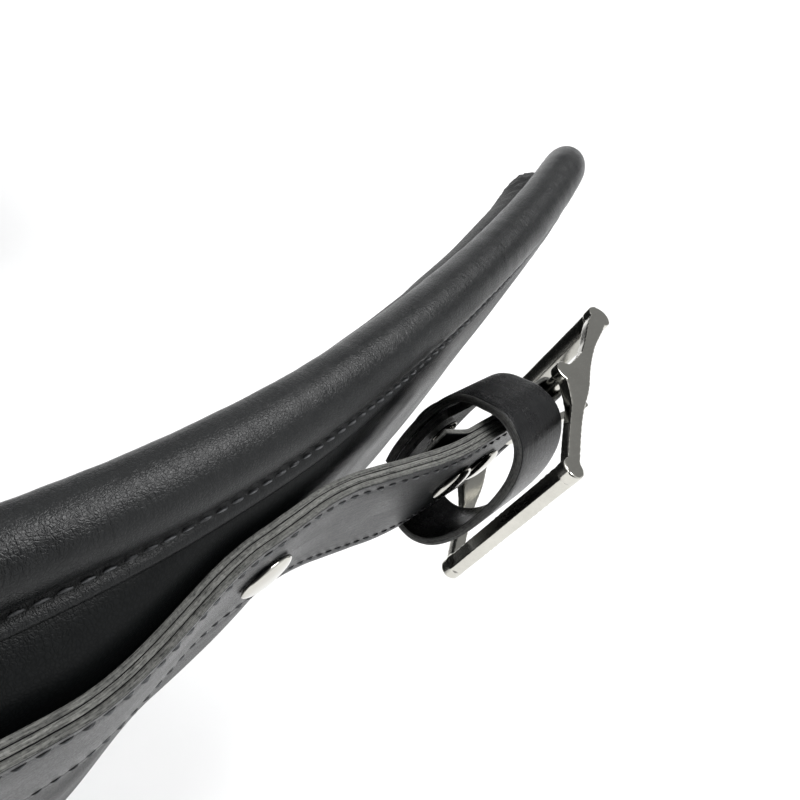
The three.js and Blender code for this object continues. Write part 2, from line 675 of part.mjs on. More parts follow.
// keeper loop
const keeperRivet = keeperRivetFrame();
const keeperGrip = 2 * KEEPER_WALL + GAP + 0.1;
add("keeper_loop", cut(keeperLoop(), [rivetHole(keeperRivet, POST_RADIUS + GAP, -8, 3)]), LEATHER);
add("keeper_rivet_cap", rivetCap(keeperRivet, keeperGrip, 5), NICKEL, 1, 0.25);
add("keeper_rivet_back", rivetBack(keeperRivet, keeperGrip, 4.2), NICKEL, 1, 0.25);

// buckle
add("buckle_frame", buckleFrame(), NICKEL, 1, 0.25);
add("buckle_roller", buckleRoller(), NICKEL, 1, 0.3);
add("buckle_prong", buckleProng(), NICKEL, 1, 0.25);

// tail strap, on the other wing
const TAIL_LENGTH = 200;
const TAIL_HOLES = range(6).map((i) => 70 + i * 22);
const tailHalfWidth = (d) => (STRAP_WIDTH / 2) * Math.sqrt(Math.max(0.04, 1 - clamp01((d - TAIL_LENGTH + 20) / 20) ** 2));
const tailHoles = TAIL_HOLES.map((distance) => rivetHole(strapFrame(TAIL_PATH, distance, 0), 2, -8, 4));
const tailLayers = [["outer", 0, LAYER_OUTER], ["middle", middleDepth, LAYER_MIDDLE], ["inner", innerDepth, LAYER_INNER]];
for (const [name, depth, thickness] of tailLayers) {
  const layer = strapLayer(TAIL_PATH, 0.4, TAIL_LENGTH, 20, depth, thickness, tailHalfWidth);
  add(`tail_strap_${name}`, mirrored(cut(layer, tailHoles)), LEATHER);
}

// the origin goes to the middle of the footprint
const footprint = new THREE.Box3().setFromObject(belly).getCenter(new THREE.Vector3());
belly.children.forEach((mesh) => mesh.geometry.translate(-footprint.x, -footprint.y, 0));

export default belly;
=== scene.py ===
"""Looks of the trainer belly pad: leather, padding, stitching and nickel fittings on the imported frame.

Lengths are in millimetres until a mesh is made, and then in metres. A station is a distance along the rim
line, from the front centre to the right (negative to the left). A strap distance starts at the strap's hinge
line.
"""

import math

import bmesh
import bpy
import numpy as np
from mathutils import Matrix, Vector


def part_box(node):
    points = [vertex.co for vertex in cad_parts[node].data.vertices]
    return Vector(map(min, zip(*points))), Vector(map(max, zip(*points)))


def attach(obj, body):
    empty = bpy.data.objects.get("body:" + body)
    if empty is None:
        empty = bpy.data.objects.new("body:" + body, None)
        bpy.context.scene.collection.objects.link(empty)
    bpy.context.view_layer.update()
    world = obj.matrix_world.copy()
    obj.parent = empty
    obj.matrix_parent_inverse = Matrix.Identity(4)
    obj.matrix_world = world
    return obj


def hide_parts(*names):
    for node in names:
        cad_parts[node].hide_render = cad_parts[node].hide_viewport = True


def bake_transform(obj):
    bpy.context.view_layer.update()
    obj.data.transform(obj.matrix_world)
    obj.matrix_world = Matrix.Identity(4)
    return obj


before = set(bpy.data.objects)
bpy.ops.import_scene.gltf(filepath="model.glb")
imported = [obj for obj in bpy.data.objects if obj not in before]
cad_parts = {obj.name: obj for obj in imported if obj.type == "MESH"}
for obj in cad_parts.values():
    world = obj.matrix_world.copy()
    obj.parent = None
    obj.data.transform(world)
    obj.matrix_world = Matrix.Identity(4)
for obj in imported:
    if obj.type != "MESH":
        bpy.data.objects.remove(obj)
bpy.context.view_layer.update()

MM = 0.001

# ---- driving dimensions, the same as the solids have ---------------------------------------------
GAP = 0.3
FRONT_DEPTH = 160
RIM_HEIGHT = 260
WING_HEIGHT = 112
WING_CORNER = 38
ROLL_RADIUS = 6.5
STRAP_WIDTH = 38
STRAP_THICKNESS = 3.6
STRAP_SLOPE = -0.13
STRAP_DROP = 29.5
RIVET_RADIUS = 6
DOME_HEIGHT = 1.9
PANEL_INSET = 5.4
EDGE_OFFSET = 4.6
EDGE_DEPTH = 14
COVER = 1.6
LAYER_OUTER = 1.1
LAYER_GAP = 0.2
FOLD_RADIUS = 2.4
BAR_RADIUS = 2

PLAN = [(40, 250), (42, 100), (22.5, 250), (15.4, 570)]
RIM_PIECES = [(turn, math.radians(turn) * radius) for turn, radius in PLAN]
SIDE_START = RIM_PIECES[0][1] + RIM_PIECES[1][1]
WING_END = sum(length for _, length in RIM_PIECES)
SEAM = SIDE_START - 40
STEP_START = SIDE_START + 38
STEP_END = SIDE_START + 72
TAB_START = SIDE_START - 34
RIVET_STATION = SIDE_START + 77
HINGE_STATION = SIDE_START + 83

BUCKLE_PATH = [(-16, 14), (0, 16), (10, 16), (1, 37)]
TAIL_PATH = [(2, 60), (12, 100), (36, 40)]
FOLD_RIVETS = (50, 62.5)
TAIL_LENGTH = 200
TAIL_HOLES = [70 + 22 * i for i in range(6)]
BAR_STATION = 83
LAYER_STOP = 72
KEEPER_START = 50
KEEPER_LENGTH = 20
KEEPER_HALF_HEIGHT = 24.2
KEEPER_HALF_DEPTH = 12.3
KEEPER_WALL = 2.2
KEEPER_SHIFT = -1
KEEPER_LAP = 26

BUCKLE_HALF_WIDTH = 26
RAIL_THICK = 3.2
RAIL_HALF = 2.5
HEEL_REACH = 33.5
HEEL_ANGLE = math.radians(36)
ROLLER_REACH = 38
ROLLER_ANGLE = math.radians(14.6)
ROLLER_RADIUS = 3.6
ROLLER_BORE = 1.82
ROLLER_PIN = 1.7
PRONG_LENGTH = 39
PRONG_ANGLE = math.radians(12)
PRONG_BORE = 2.12

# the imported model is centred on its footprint; the drawing starts on the rim's front centre line
FRONT_BULGE = 30
FRONT_LOW, FRONT_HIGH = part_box("front_cover")
FRONT_CENTRE = (FRONT_LOW[0] + FRONT_HIGH[0]) / 2 / MM
SHIFT = np.array([FRONT_CENTRE, FRONT_LOW[1] / MM + FRONT_DEPTH + FRONT_BULGE, 0])

# ---- dimensions of the detail --------------------------------------------------------------------
STITCH_PITCH = 3.0
STITCH_LENGTH = 2.3
THREAD_RADIUS = 0.3
STITCH_INSET = 3.3          # from the edge of a strap to its stitch row
SEAM_ANGLE = -27.5          # where the roll is drawn in above its flange, in degrees from its outward side
FLANGE_HEIGHT = 0.7         # of the flange of the roll over the outer face
SEAM_DIP = 2.0              # of the upright seams between the front and the wings
SEAM_SINK = 1.15            # how far the roll is drawn in there
SEAM_ROW = 4.5              # from an upright seam to the stitch row beside it
WELT_HALF_WIDTH = 0.9
RAIL_BEND = np.array([2.6, 0.8])
BAR_BOSS_RADIUS = 3.4
HOOK_RADIUS = 3.9           # of a rail's end round the roller's pin
CORNER_RADIUS = 2.9         # of the corner between a rail and the heel bar
KEEPER_RIVET_RADIUS = 5
CLOTH_FRAMES = 20
CLOTH_PRESSURE = 4.0
CLOTH_SHRINK = -0.012
TAIL_HOLE_RADIUS = 2.0
OUTER_LOOK = LAYER_OUTER + 0.12     # the outer layer, filling most of the gap under it
STRAP_BEND_LENGTH = 16      # a length past the hinge line, for the end of a bend line that is worked out but not used


# ---- number helpers ------------------------------------------------------------------------------
def lerp(a, b, t):
    return a + (b - a) * t


def smooth(t):
    t = np.clip(t, 0, 1)
    return t * t * (3 - 2 * t)


def rise(distance, depth):
    """A quarter ellipse from 0 at the edge to 1 at the given depth."""
    return np.sqrt(np.clip(1 - (1 - np.clip(distance / depth, 0, 1)) ** 2, 0, 1))


def unit(vectors):
    return vectors / np.linalg.norm(vectors, axis=-1, keepdims=True)


def lengths_along(points):
    steps = np.linalg.norm(np.diff(points, axis=0), axis=1)
    return np.concatenate([[0], np.cumsum(steps)])


def resampled(points, step):
    """Points spread evenly over a polyline."""
    run = lengths_along(points)
    count = max(2, round(run[-1] / step) + 1)
    at = np.linspace(0, run[-1], count)
    return np.stack([np.interp(at, run, points[:, k]) for k in range(points.shape[1])], 1)


def directions(points):
    return unit(np.gradient(points, axis=0))


def ripple(seed, longest, shortest, waves=14):
    """A smooth uneven function of two lengths, near -1 to 1, the same at each run."""
    random = np.random.default_rng(seed)
    size = longest * (shortest / longest) ** random.random(waves)
    angle = random.random(waves) * 2 * math.pi
    phase = random.random(waves) * 2 * math.pi
    weight = (size / size.max()) ** 0.7
    weight = weight / np.sqrt((weight**2).sum())

    def value(a, b):
        total = 0
        for s, g, p, w in zip(size, angle, phase, weight):
            total = total + w * np.sin(2 * math.pi * (a * math.cos(g) + b * math.sin(g)) / s + p)
        return total

    return value


# ---- plan of the rim and the straps --------------------------------------------------------------
def walk(start, pieces, distance):
    """Position and heading after a distance along pieces of (turn in degrees, length)."""
    x, y, heading = start
    left = distance
    for turn_degrees, length in pieces:
        run = min(left, length)
        turn = math.radians(turn_degrees) * run / length
        chord = run if abs(turn) < 1e-9 else 2 * math.sin(turn / 2) * run / turn
        x -= math.sin(heading + turn / 2) * chord
        y += math.cos(heading + turn / 2) * chord
        heading += turn
        left -= run
        if left <= 0:
            break
    return x - math.sin(heading) * left, y + math.cos(heading) * left, heading


RIM_START = (0, -FRONT_DEPTH, math.radians(-90))
RIM_STATIONS = np.arange(0, WING_END + 40, 0.5)
RIM_TABLE = np.array([walk(RIM_START, RIM_PIECES, s) for s in RIM_STATIONS])


def pad_points(station, offset, z):
    """Points on the pad from station, outward offset and height."""
    station, offset, z = np.broadcast_arrays(station, offset, z)
    s = np.abs(station)
    x, y, heading = (np.interp(s, RIM_STATIONS, RIM_TABLE[:, k]) for k in range(3))
    side = np.where(station < 0, -1, 1)
    return np.stack([side * (x + np.cos(heading) * offset), y + np.sin(heading) * offset, z], -1)


def lower_rim(station):
    share = smooth((np.abs(station) - (SIDE_START - 30)) / 150)
    return lerp(ROLL_RADIUS, RIM_HEIGHT - WING_HEIGHT, share)


def outline_at(station, inset):
    """Lowest and highest point of the pad at a station, with the wing end rounded off."""
    end = WING_END - inset
    radius = WING_CORNER - inset
    past = np.clip(np.abs(station) - (end - radius), 0, radius)
    drop = radius - np.sqrt(np.clip(radius**2 - past**2, 0, None))
    slope = (lower_rim(station + 1) - lower_rim(station - 1)) / 2
    lift = inset * np.hypot(1, slope)
    return lower_rim(station) + lift + drop, RIM_HEIGHT - inset - drop


def outer_bulge(station):
    s = np.abs(station)
    body = lerp(FRONT_BULGE, 18, smooth((s - 90) / (STEP_START - 100)))
    wing = lerp(10.6, 7.4, smooth((s - STEP_END - 14) / 40))
    return lerp(body, wing, smooth((s - STEP_START) / (STEP_END - STEP_START)))


def inner_bulge(station):
    return lerp(15, 11.5, smooth((np.abs(station) - 150) / 200))


def edge_distance(station, z):
    """Distance in from the top or bottom edge of a panel, and the depth over which the panel rises."""
    low, high = outline_at(station, PANEL_INSET)
    tall = high - low
    return np.minimum(high - z, z - low), np.minimum(0.4 * tall, EDGE_DEPTH)


def face_offset(station, z, bulge):
    """How far the face of the pad stands out at a place."""
    inside, depth = edge_distance(station, z)
    near_end = rise(WING_END - PANEL_INSET - np.abs(station), 16)
    return EDGE_OFFSET + (bulge - EDGE_OFFSET) * rise(inside, depth) * near_end


def strap_height(distance):
    return RIM_HEIGHT - STRAP_DROP + STRAP_SLOPE * np.maximum(0, distance)


def tab_half_width(station):
    flare = lerp(STRAP_WIDTH / 2, 33, smooth((STEP_START + 10 - station) / 62))
    closing = np.clip((station - TAB_START) / 20, 0, 1)
    return flare * np.sqrt(np.maximum(0.02, 1 - (1 - closing) ** 2))


def tab_line(stations):
    offset = outer_bulge(stations) + GAP + STRAP_THICKNESS
    return pad_points(stations, offset, 0.0)[:, :2]


HINGE_ENDS = tab_line(np.array([HINGE_STATION - 1, HINGE_STATION]))
HINGE_HEADING = math.atan2(HINGE_ENDS[0, 0] - HINGE_ENDS[1, 0], HINGE_ENDS[1, 1] - HINGE_ENDS[0, 1])
HINGE_START = (HINGE_ENDS[1, 0], HINGE_ENDS[1, 1], HINGE_HEADING)


class StrapTable:
    """The outer surface of a tab and its free strap, by distance from the hinge line."""

    def __init__(self, path, length, half_width):
        stations = np.arange(TAB_START, HINGE_STATION - 0.2, 1.0)
        tab = tab_line(stations)
        tab_run = lengths_along(np.vstack([tab, HINGE_ENDS[1:]]))
        tab_distance = tab_run[:-1] - tab_run[-1]
        tab_direction = directions(tab)
        free = np.arange(0, length + 0.5, 1.0)
        walked = np.array([walk(HINGE_START, path, d) for d in free])
        free_direction = np.stack([-np.sin(walked[:, 2]), np.cos(walked[:, 2])], 1)
        half_tab = tab_half_width(stations)
        self.distance = np.concatenate([tab_distance, free])
        self.place = np.vstack([tab, walked[:, :2]])
        self.along = np.vstack([tab_direction, free_direction])
        self.half = np.concatenate([half_tab, half_width(free)])
        tab_middle = strap_height(0) - (half_tab - STRAP_WIDTH / 2) * 0.8
        self.middle = np.concatenate([tab_middle, strap_height(free)])
        self.lean = np.concatenate([0 * tab_distance, -STRAP_SLOPE * smooth(free / 30)])

    def read(self, values, distance):
        if values.ndim == 1:
            return np.interp(distance, self.distance, values)
        columns = [np.interp(distance, self.distance, values[:, k]) for k in range(values.shape[1])]
        return np.stack(columns, -1)

    def points(self, distance, across, depth):
        """Points at a distance, a height above the middle line and a depth under the outer surface."""
        along = unit(self.read(self.along, distance))
        out = np.stack([along[..., 1], -along[..., 0]], -1)
        lean = (self.read(self.lean, distance) * across)[..., None]
        flat = self.read(self.place, distance) - out * np.asarray(depth)[..., None] + along * lean
        return np.concatenate([flat, (self.read(self.middle, distance) + across)[..., None]], -1)

    def out(self, distance):
        along = unit(self.read(self.along, distance))
        return np.stack([along[..., 1], -along[..., 0], 0 * along[..., 0]], -1)


def plain_half_width(distance):
    return np.full(np.shape(distance), STRAP_WIDTH / 2)


def tail_half_width(distance):
    closing = np.clip((distance - TAIL_LENGTH + 20) / 20, 0, 1)
    return STRAP_WIDTH / 2 * np.sqrt(np.maximum(0.02, 1 - closing**2))


buckle_strap = StrapTable(BUCKLE_PATH, BAR_STATION, plain_half_width)
tail_strap = StrapTable(TAIL_PATH, TAIL_LENGTH, tail_half_width)


def strap_frame(distance, depth):
    """A place on the buckle strap, and its axes outward, along and across as the columns of a matrix."""
    x, y, heading = walk(HINGE_START, BUCKLE_PATH, distance)
    out = np.array([math.cos(heading), math.sin(heading), 0])
    along = unit(np.array([-math.sin(heading), math.cos(heading), STRAP_SLOPE]))
    across = np.cross(out, along)
    origin = np.array([x, y, strap_height(distance)]) - out * depth
    return origin, np.stack([out, along, across], 1)


# ---- meshes --------------------------------------------------------------------------------------
def make_object(name, vertices, faces, corner_uvs, materials, slots=None):
    mesh = bpy.data.meshes.new(name)
    mesh.from_pydata(((np.asarray(vertices) + SHIFT) * MM).tolist(), [], faces)
    if corner_uvs is not None:
        layer = mesh.uv_layers.new(name="UVMap")
        layer.data.foreach_set("uv", (np.asarray(corner_uvs, float) * MM).ravel())
    for material in materials:
        mesh.materials.append(material)
    if slots is not None:
        mesh.polygons.foreach_set("material_index", np.asarray(slots, np.int32))
    mesh.polygons.foreach_set("use_smooth", np.ones(len(mesh.polygons), bool))
    mesh.validate()
    mesh.update()
    made = bpy.data.objects.new(name, mesh)
    bpy.context.scene.collection.objects.link(made)
    return made


def grid_object(name, points, materials, wrap_rows=False, wrap_columns=False, caps=False,
                column_slots=None, flip=False):
    """A mesh from rows x columns of points. UVs are the distances along the middle row and column."""
    rows, columns = points.shape[:2]
    row_count = rows if wrap_rows else rows - 1
    column_count = columns if wrap_columns else columns - 1
    i, j = np.meshgrid(np.arange(row_count), np.arange(column_count), indexing="ij")
    i, j = i.ravel(), j.ravel()
    next_i, next_j = (i + 1) % rows, (j + 1) % columns
    corners = [(i, j), (next_i, j), (next_i, next_j), (i, next_j)]
    unwrapped = [(i, j), (i + 1, j), (i + 1, j + 1), (i, j + 1)]
    if flip:
        corners.reverse()
        unwrapped.reverse()
    quads = np.stack([a * columns + b for a, b in corners], 1)
    middle_row = points[:, columns // 2]
    u = lengths_along(np.vstack([middle_row, middle_row[:1]]))
    ring = points[rows // 2]
    v = lengths_along(np.vstack([ring, ring[:1]]))
    uvs = np.stack([np.stack([u[a], v[b]], 1) for a, b in unwrapped], 1).reshape(-1, 2)
    faces = quads.tolist()
    slots = None if column_slots is None else np.asarray(column_slots)[j]
    if caps:
        ends = [list(range(columns)), list(range((rows - 1) * columns, rows * columns))]
        ends[1 if flip else 0].reverse()
        for end in ends:
            faces.append(end)
            flat = np.stack([v[np.array(end) % columns], 0 * np.array(end)], 1)
            uvs = np.vstack([uvs, flat])
        if slots is not None:
            slots = np.concatenate([slots, [1, 1]])
    made = make_object(name, points.reshape(-1, 3), faces, uvs, materials, slots)
    if wrap_columns:
        turn_outward(made)
    return made


def turn_outward(made):
    """Makes all the faces of a closed mesh face out."""
    work = bmesh.new()
    work.from_mesh(made.data)
    bmesh.ops.recalc_face_normals(work, faces=work.faces)
    work.to_mesh(made.data)
    work.free()


def settle(made):
    """Applies the modifiers of an object."""
    graph = bpy.context.evaluated_depsgraph_get()
    mesh = bpy.data.meshes.new_from_object(made.evaluated_get(graph))
    made.modifiers.clear()
    made.data = mesh
    return made


def remove(made):
    mesh = made.data
    bpy.data.objects.remove(made)
    bpy.data.meshes.remove(mesh)


def cut_away(made, tools):
    for tool in tools:
        step = made.modifiers.new("cut", "BOOLEAN")
        step.operation = "DIFFERENCE"
        step.solver = "EXACT"
        step.object = tool
    settle(made)
    for tool in tools:
        remove(tool)
    return made


def mirrored(points):
    return points * np.array([-1, 1, 1])


def lathe(name, outline, origin, axis, across, materials, segments=48):
    """A turned form from a closed outline of (radius, height), the heights along the axis."""
    axis = unit(np.asarray(axis, float))
    first = unit(np.asarray(across, float) - axis * np.dot(across, axis))
    second = np.cross(axis, first)
    angles = np.linspace(0, 2 * math.pi, segments, endpoint=False)[:, None, None]
    outline = np.array(outline, float)
    radius, height = outline[:, 0][None, :, None], outline[:, 1][None, :, None]
    points = origin + height * axis + radius * (np.cos(angles) * first + np.sin(angles) * second)
    return grid_object(name, points, materials, wrap_rows=True, wrap_columns=True)


def thread_object(name, centres, alongs, ups, material):
    """A row of stitches: one short thread each, with its ends drawn down into the leather."""
    rings = np.linspace(-1, 1, 7)
    sides = np.linspace(0, 2 * math.pi, 6, endpoint=False)
    sideways = unit(np.cross(alongs, ups))
    ups = np.cross(sideways, alongs)
    reach = rings * STITCH_LENGTH / 2
    thick = THREAD_RADIUS * np.sqrt(1 - (0.93 * rings) ** 2)
    lift = 0.16 - 0.42 * rings**2
    ring_centres = centres[:, None] + alongs[:, None] * reach[None, :, None]
    ring_centres = ring_centres + ups[:, None] * lift[None, :, None]
    upward = np.cos(sides)[None, None, :, None] * ups[:, None, None]
    circle = upward + np.sin(sides)[None, None, :, None] * sideways[:, None, None]
    points = ring_centres[:, :, None] + circle * thick[None, :, None, None]
    count, ring_count, side_count = points.shape[:3]
    base = np.arange(count)[:, None, None] * ring_count * side_count
    ring = np.arange(ring_count - 1)[None, :, None] * side_count
    side = np.arange(side_count)[None, None, :]
    after = (side + 1) % side_count
    quads = np.stack([base + ring + side, base + ring + side_count + side,
                      base + ring + side_count + after, base + ring + after], -1).reshape(-1, 4)
    faces = quads.tolist()
    last = (ring_count - 1) * side_count
    for start in range(0, count * ring_count * side_count, ring_count * side_count):
        faces.append([start + k for k in range(side_count)])
        faces.append([start + last + k for k in reversed(range(side_count))])
    run = np.tile([[0, 0], [0.4, 0], [0.4, 0.3], [0, 0.3]], (len(quads), 1))
    caps = np.zeros((2 * count * side_count, 2))
    made = make_object(name, points.reshape(-1, 3), faces, np.vstack([run, caps]), [material])
    turn_outward(made)
    return made


# ---- materials -----------------------------------------------------------------------------------
class Shader:
    """A node material made step by step."""

    def __init__(self, name, **surface):
        self.material = bpy.data.materials.new(name)
        self.material.use_nodes = True
        self.tree = self.material.node_tree
        self.surface = self.tree.nodes["Principled BSDF"]
        for socket, value in surface.items():
            self.surface.inputs[socket.replace("_", " ")].default_value = value

    def node(self, kind, inputs=None, **settings):
        made = self.tree.nodes.new("ShaderNode" + kind)
        for key, value in settings.items():
            setattr(made, key, value)
        for socket, value in (inputs or {}).items():
            if isinstance(value, bpy.types.NodeSocket):
                self.tree.links.new(value, made.inputs[socket])
            else:
                made.inputs[socket].default_value = value
        return made

    def link(self, output, socket):
        self.tree.links.new(output, self.surface.inputs[socket])

    def coordinates(self, kind, stretch=(1, 1, 1)):
        source = self.node("TexCoord").outputs[kind]
        return self.node("Mapping", {"Vector": source, "Scale": stretch}).outputs[0]

    def noise(self, vector, scale, detail=4.0, roughness=0.55, distortion=0.0):
        return self.node("TexNoise", {"Vector": vector, "Scale": scale, "Detail": detail,
                                      "Roughness": roughness, "Distortion": distortion}).outputs[0]

    def cells(self, vector, scale):
        """Distance to the edge of irregular cells."""
        made = self.node("TexVoronoi", {"Vector": vector, "Scale": scale}, feature="DISTANCE_TO_EDGE")
        return made.outputs["Distance"]

    def ranged(self, value, from_low, from_high, to_low, to_high):
        inputs = {0: value, 1: from_low, 2: from_high, 3: to_low, 4: to_high}
        return self.node("MapRange", inputs).outputs[0]

    def math(self, operation, a, b=0.0):
        return self.node("Math", {0: a, 1: b}, operation=operation).outputs[0]

    def colours(self, value, low, high):
        ramp = self.node("ValToRGB", {0: value})
        ramp.color_ramp.elements[0].color = (*low, 1)
        ramp.color_ramp.elements[1].color = (*high, 1)
        return ramp.outputs[0]

    def bump(self, height, distance, before=None):
        inputs = {"Height": height, "Distance": distance * MM, "Strength": 1.0}
        if before is not None:
            inputs["Normal"] = before
        return self.node("Bump", inputs).outputs[0]


def leather(name, dark, light, roughness, grain, grain_depth, crease=(150, 620), crease_depth=0.10,
            kind="Object", gloss_level=0.2):
    """Grained leather: pebbles of a given size, short creases, faint mottling and a rubbed gloss."""
    look = Shader(name, Metallic=0.0, Specular_IOR_Level=gloss_level)
    plain = look.coordinates(kind)
    drift = look.node("TexNoise", {"Vector": plain, "Scale": 420.0, "Detail": 2.0}).outputs["Color"]
    reach = (0.0011, 0.0011, 0.0011)
    small = look.node("VectorMath", {0: drift, 1: reach}, operation="MULTIPLY").outputs[0]
    warped = look.node("VectorMath", {0: plain, 1: small}, operation="ADD").outputs[0]
    pebble = look.ranged(look.cells(warped, 1000 / grain), 0.0, 0.22, 0.0, 1.0)
    fine = look.ranged(look.cells(warped, 2600 / grain), 0.0, 0.3, 0.0, 1.0)
    folds = look.noise(look.coordinates(kind, (*crease, crease[0])), 1.0, 5.0, 0.6, 0.6)
    mottle = look.noise(plain, 38.0, 5.0, 0.6)
    height = look.math("ADD", pebble, look.math("MULTIPLY", fine, 0.45))
    creased = look.bump(look.ranged(folds, 0.3, 0.7, 0.0, 1.0), crease_depth)
    look.link(look.bump(height, grain_depth, creased), "Normal")
    shade = look.math("ADD", look.math("MULTIPLY", mottle, 0.7), look.math("MULTIPLY", pebble, 0.3))
    look.link(look.colours(look.ranged(shade, 0.3, 0.85, 0.0, 1.0), dark, light), "Base Color")
    rubbed = look.ranged(mottle, 0.3, 0.7, roughness - 0.05, roughness + 0.07)
    look.link(look.math("ADD", rubbed, look.ranged(pebble, 0.0, 1.0, 0.1, 0.0)), "Roughness")
    return look.material


def raw_edge(name, dark, light):
    """The cut edge of leather: loose fibres along the strap and the faint lines of its layers."""
    look = Shader(name, Metallic=0.0, Specular_IOR_Level=0.35)
    long = look.noise(look.coordinates("UV", (380, 3600, 1)), 1.0, 6.0, 0.75, 1.1)
    short = look.noise(look.coordinates("Object"), 1500.0, 4.0, 0.7)
    lines = look.noise(look.coordinates("UV", (22, 3200, 1)), 1.0, 3.0, 0.6, 0.3)
    fine = look.math("ADD", look.math("MULTIPLY", short, 0.25), look.math("MULTIPLY", lines, 0.35))
    mixed = look.math("ADD", look.math("MULTIPLY", long, 0.5), fine)
    look.link(look.colours(look.ranged(mixed, 0.42, 0.69, 0.0, 1.0), dark, light), "Base Color")
    look.link(look.ranged(mixed, 0.4, 0.7, 0.9, 0.62), "Roughness")
    look.link(look.bump(mixed, 0.75), "Normal")
    return look.material


def nickel(name, colour, roughness, wear=0.05):
    """Bright nickel plate: a little uneven, with fine rubbing marks."""
    look = Shader(name, Metallic=1.0)
    plain = look.coordinates("Object")
    marks = look.noise(look.coordinates("Object", (900, 90, 900)), 1.0, 5.0, 0.7, 0.5)
    cloud = look.noise(plain, 110.0, 4.0, 0.6)
    mixed = look.math("ADD", look.math("MULTIPLY", cloud, 0.6), look.math("MULTIPLY", marks, 0.4))
    tone = look.ranged(mixed, 0.3, 0.7, 0.0, 1.0)
    dull = tuple(0.8 * c for c in colour)
    look.link(look.colours(tone, dull, colour), "Base Color")
    look.link(look.ranged(tone, 0.0, 1.0, roughness + wear, roughness), "Roughness")
    waves = look.noise(plain, 240.0, 3.0, 0.5)
    look.link(look.bump(waves, 0.02, look.bump(marks, 0.004)), "Normal")
    return look.material


def waxed_thread(name, dark, light):
    look = Shader(name, Metallic=0.0, Specular_IOR_Level=0.5)
    plain = look.coordinates("Object")
    twist = look.node("TexWave", {"Vector": plain, "Scale": 420.0, "Distortion": 2.0}).outputs[0]
    look.link(look.colours(twist, dark, light), "Base Color")
    look.link(look.ranged(twist, 0.0, 1.0, 0.5, 0.34), "Roughness")
    look.link(look.bump(twist, 0.08), "Normal")
    return look.material


COVER_LEATHER = leather("cover_leather_black", dark=(0.002, 0.0025, 0.0026), light=(0.007, 0.0078, 0.008),
                        roughness=0.32, grain=0.65, grain_depth=0.022, crease_depth=0.035, gloss_level=0.13)
ROLL_LEATHER = leather("roll_leather_black", dark=(0.003, 0.0035, 0.0038), light=(0.010, 0.011, 0.0115),
                       roughness=0.30, grain=0.55, grain_depth=0.024, crease=(900, 330), crease_depth=0.055,
                       kind="UV", gloss_level=0.32)
LINING_LEATHER = leather("lining_leather_black", dark=(0.007, 0.007, 0.0075), light=(0.020, 0.020, 0.021),
                         roughness=0.45, grain=0.7, grain_depth=0.04)
STRAP_LEATHER = leather("strap_leather_black", dark=(0.0045, 0.005, 0.0055), light=(0.013, 0.014, 0.0155),
                        roughness=0.30, grain=0.6, grain_depth=0.022, crease_depth=0.05, kind="UV")
KEEPER_LEATHER = leather("keeper_leather_black", dark=(0.003, 0.003, 0.0033), light=(0.009, 0.0095, 0.0105),
                         roughness=0.26, grain=0.6, grain_depth=0.018, crease_depth=0.04, kind="UV")
STRAP_EDGE = raw_edge("strap_raw_edge", dark=(0.010, 0.011, 0.011), light=(0.30, 0.30, 0.28))
CORE_EDGE = raw_edge("core_raw_edge", dark=(0.016, 0.017, 0.016), light=(0.38, 0.38, 0.355))
KEEPER_EDGE = raw_edge("keeper_raw_edge", dark=(0.012, 0.012, 0.013), light=(0.20, 0.20, 0.19))
THREAD = waxed_thread("waxed_thread_black", dark=(0.02, 0.021, 0.022), light=(0.09, 0.094, 0.098))
ROLL_THREAD = waxed_thread("roll_thread_black", dark=(0.03, 0.031, 0.033), light=(0.13, 0.134, 0.14))
RIVET_NICKEL = nickel("rivet_nickel", (0.60, 0.585, 0.54), roughness=0.10)
BUCKLE_NICKEL = nickel("buckle_nickel", (0.66, 0.645, 0.59), roughness=0.13)
ROLLER_NICKEL = nickel("roller_nickel", (0.50, 0.49, 0.45), roughness=0.20, wear=0.08)


# ---- padded panels -------------------------------------------------------------------------------
class Panel:
    """One leather face of the pad between two seams, laid out as stations x heights."""

    def __init__(self, stations, middle_count, bulge, side, seams):
        self.stations = stations
        self.bulge = bulge
        self.side = side
        self.seams = seams
        low, high = outline_at(stations, PANEL_INSET)
        tall = high - low
        depth = np.minimum(0.4 * tall, EDGE_DEPTH)
        near = 1 - np.cos(np.linspace(0, math.pi / 2, 9))
        middle = np.linspace(0, 1, middle_count + 1)[1:-1]
        top = high[:, None] - depth[:, None] * near
        bottom = (low[:, None] + depth[:, None] * near)[:, ::-1]
        between = top[:, -1:] + (bottom[:, :1] - top[:, -1:]) * middle
        self.height = np.concatenate([top, between, bottom], 1)
        self.station = np.broadcast_to(stations[:, None], self.height.shape)

    def seam_distance(self, s):
        return np.min([np.abs(s - seam) for seam in self.seams], axis=0)

    def offsets(self):
        out = face_offset(self.station, self.height, self.bulge(self.station))
        dip = SEAM_DIP * (1 - rise(self.seam_distance(self.station), 6))
        return out - dip * rise(edge_distance(self.station, self.height)[0], 8)

    def points(self, extra=0.0):
        return pad_points(self.station, self.side * (self.offsets() + extra), self.height)

    def freedom(self, held):
        """0 where the leather is sewn or held, 1 where it can swell."""
        inside, _ = edge_distance(self.station, self.height)
        free = smooth((inside - 7) / 16) * smooth((self.seam_distance(self.station) - 4) / 16)
        free = free * smooth((WING_END - 14 - np.abs(self.station)) / 16)
        return free * (1 - held(np.abs(self.station), self.height))


def not_held(station, _):
    return 0 * station


def under_strap(station, height):
    """Where the tab and the free strap lie close to the wing."""
    lengthways = smooth((station - TAB_START + 16) / 10)
    upper = smooth((height - (strap_height(0) - 62)) / 14)
    return lengthways * upper


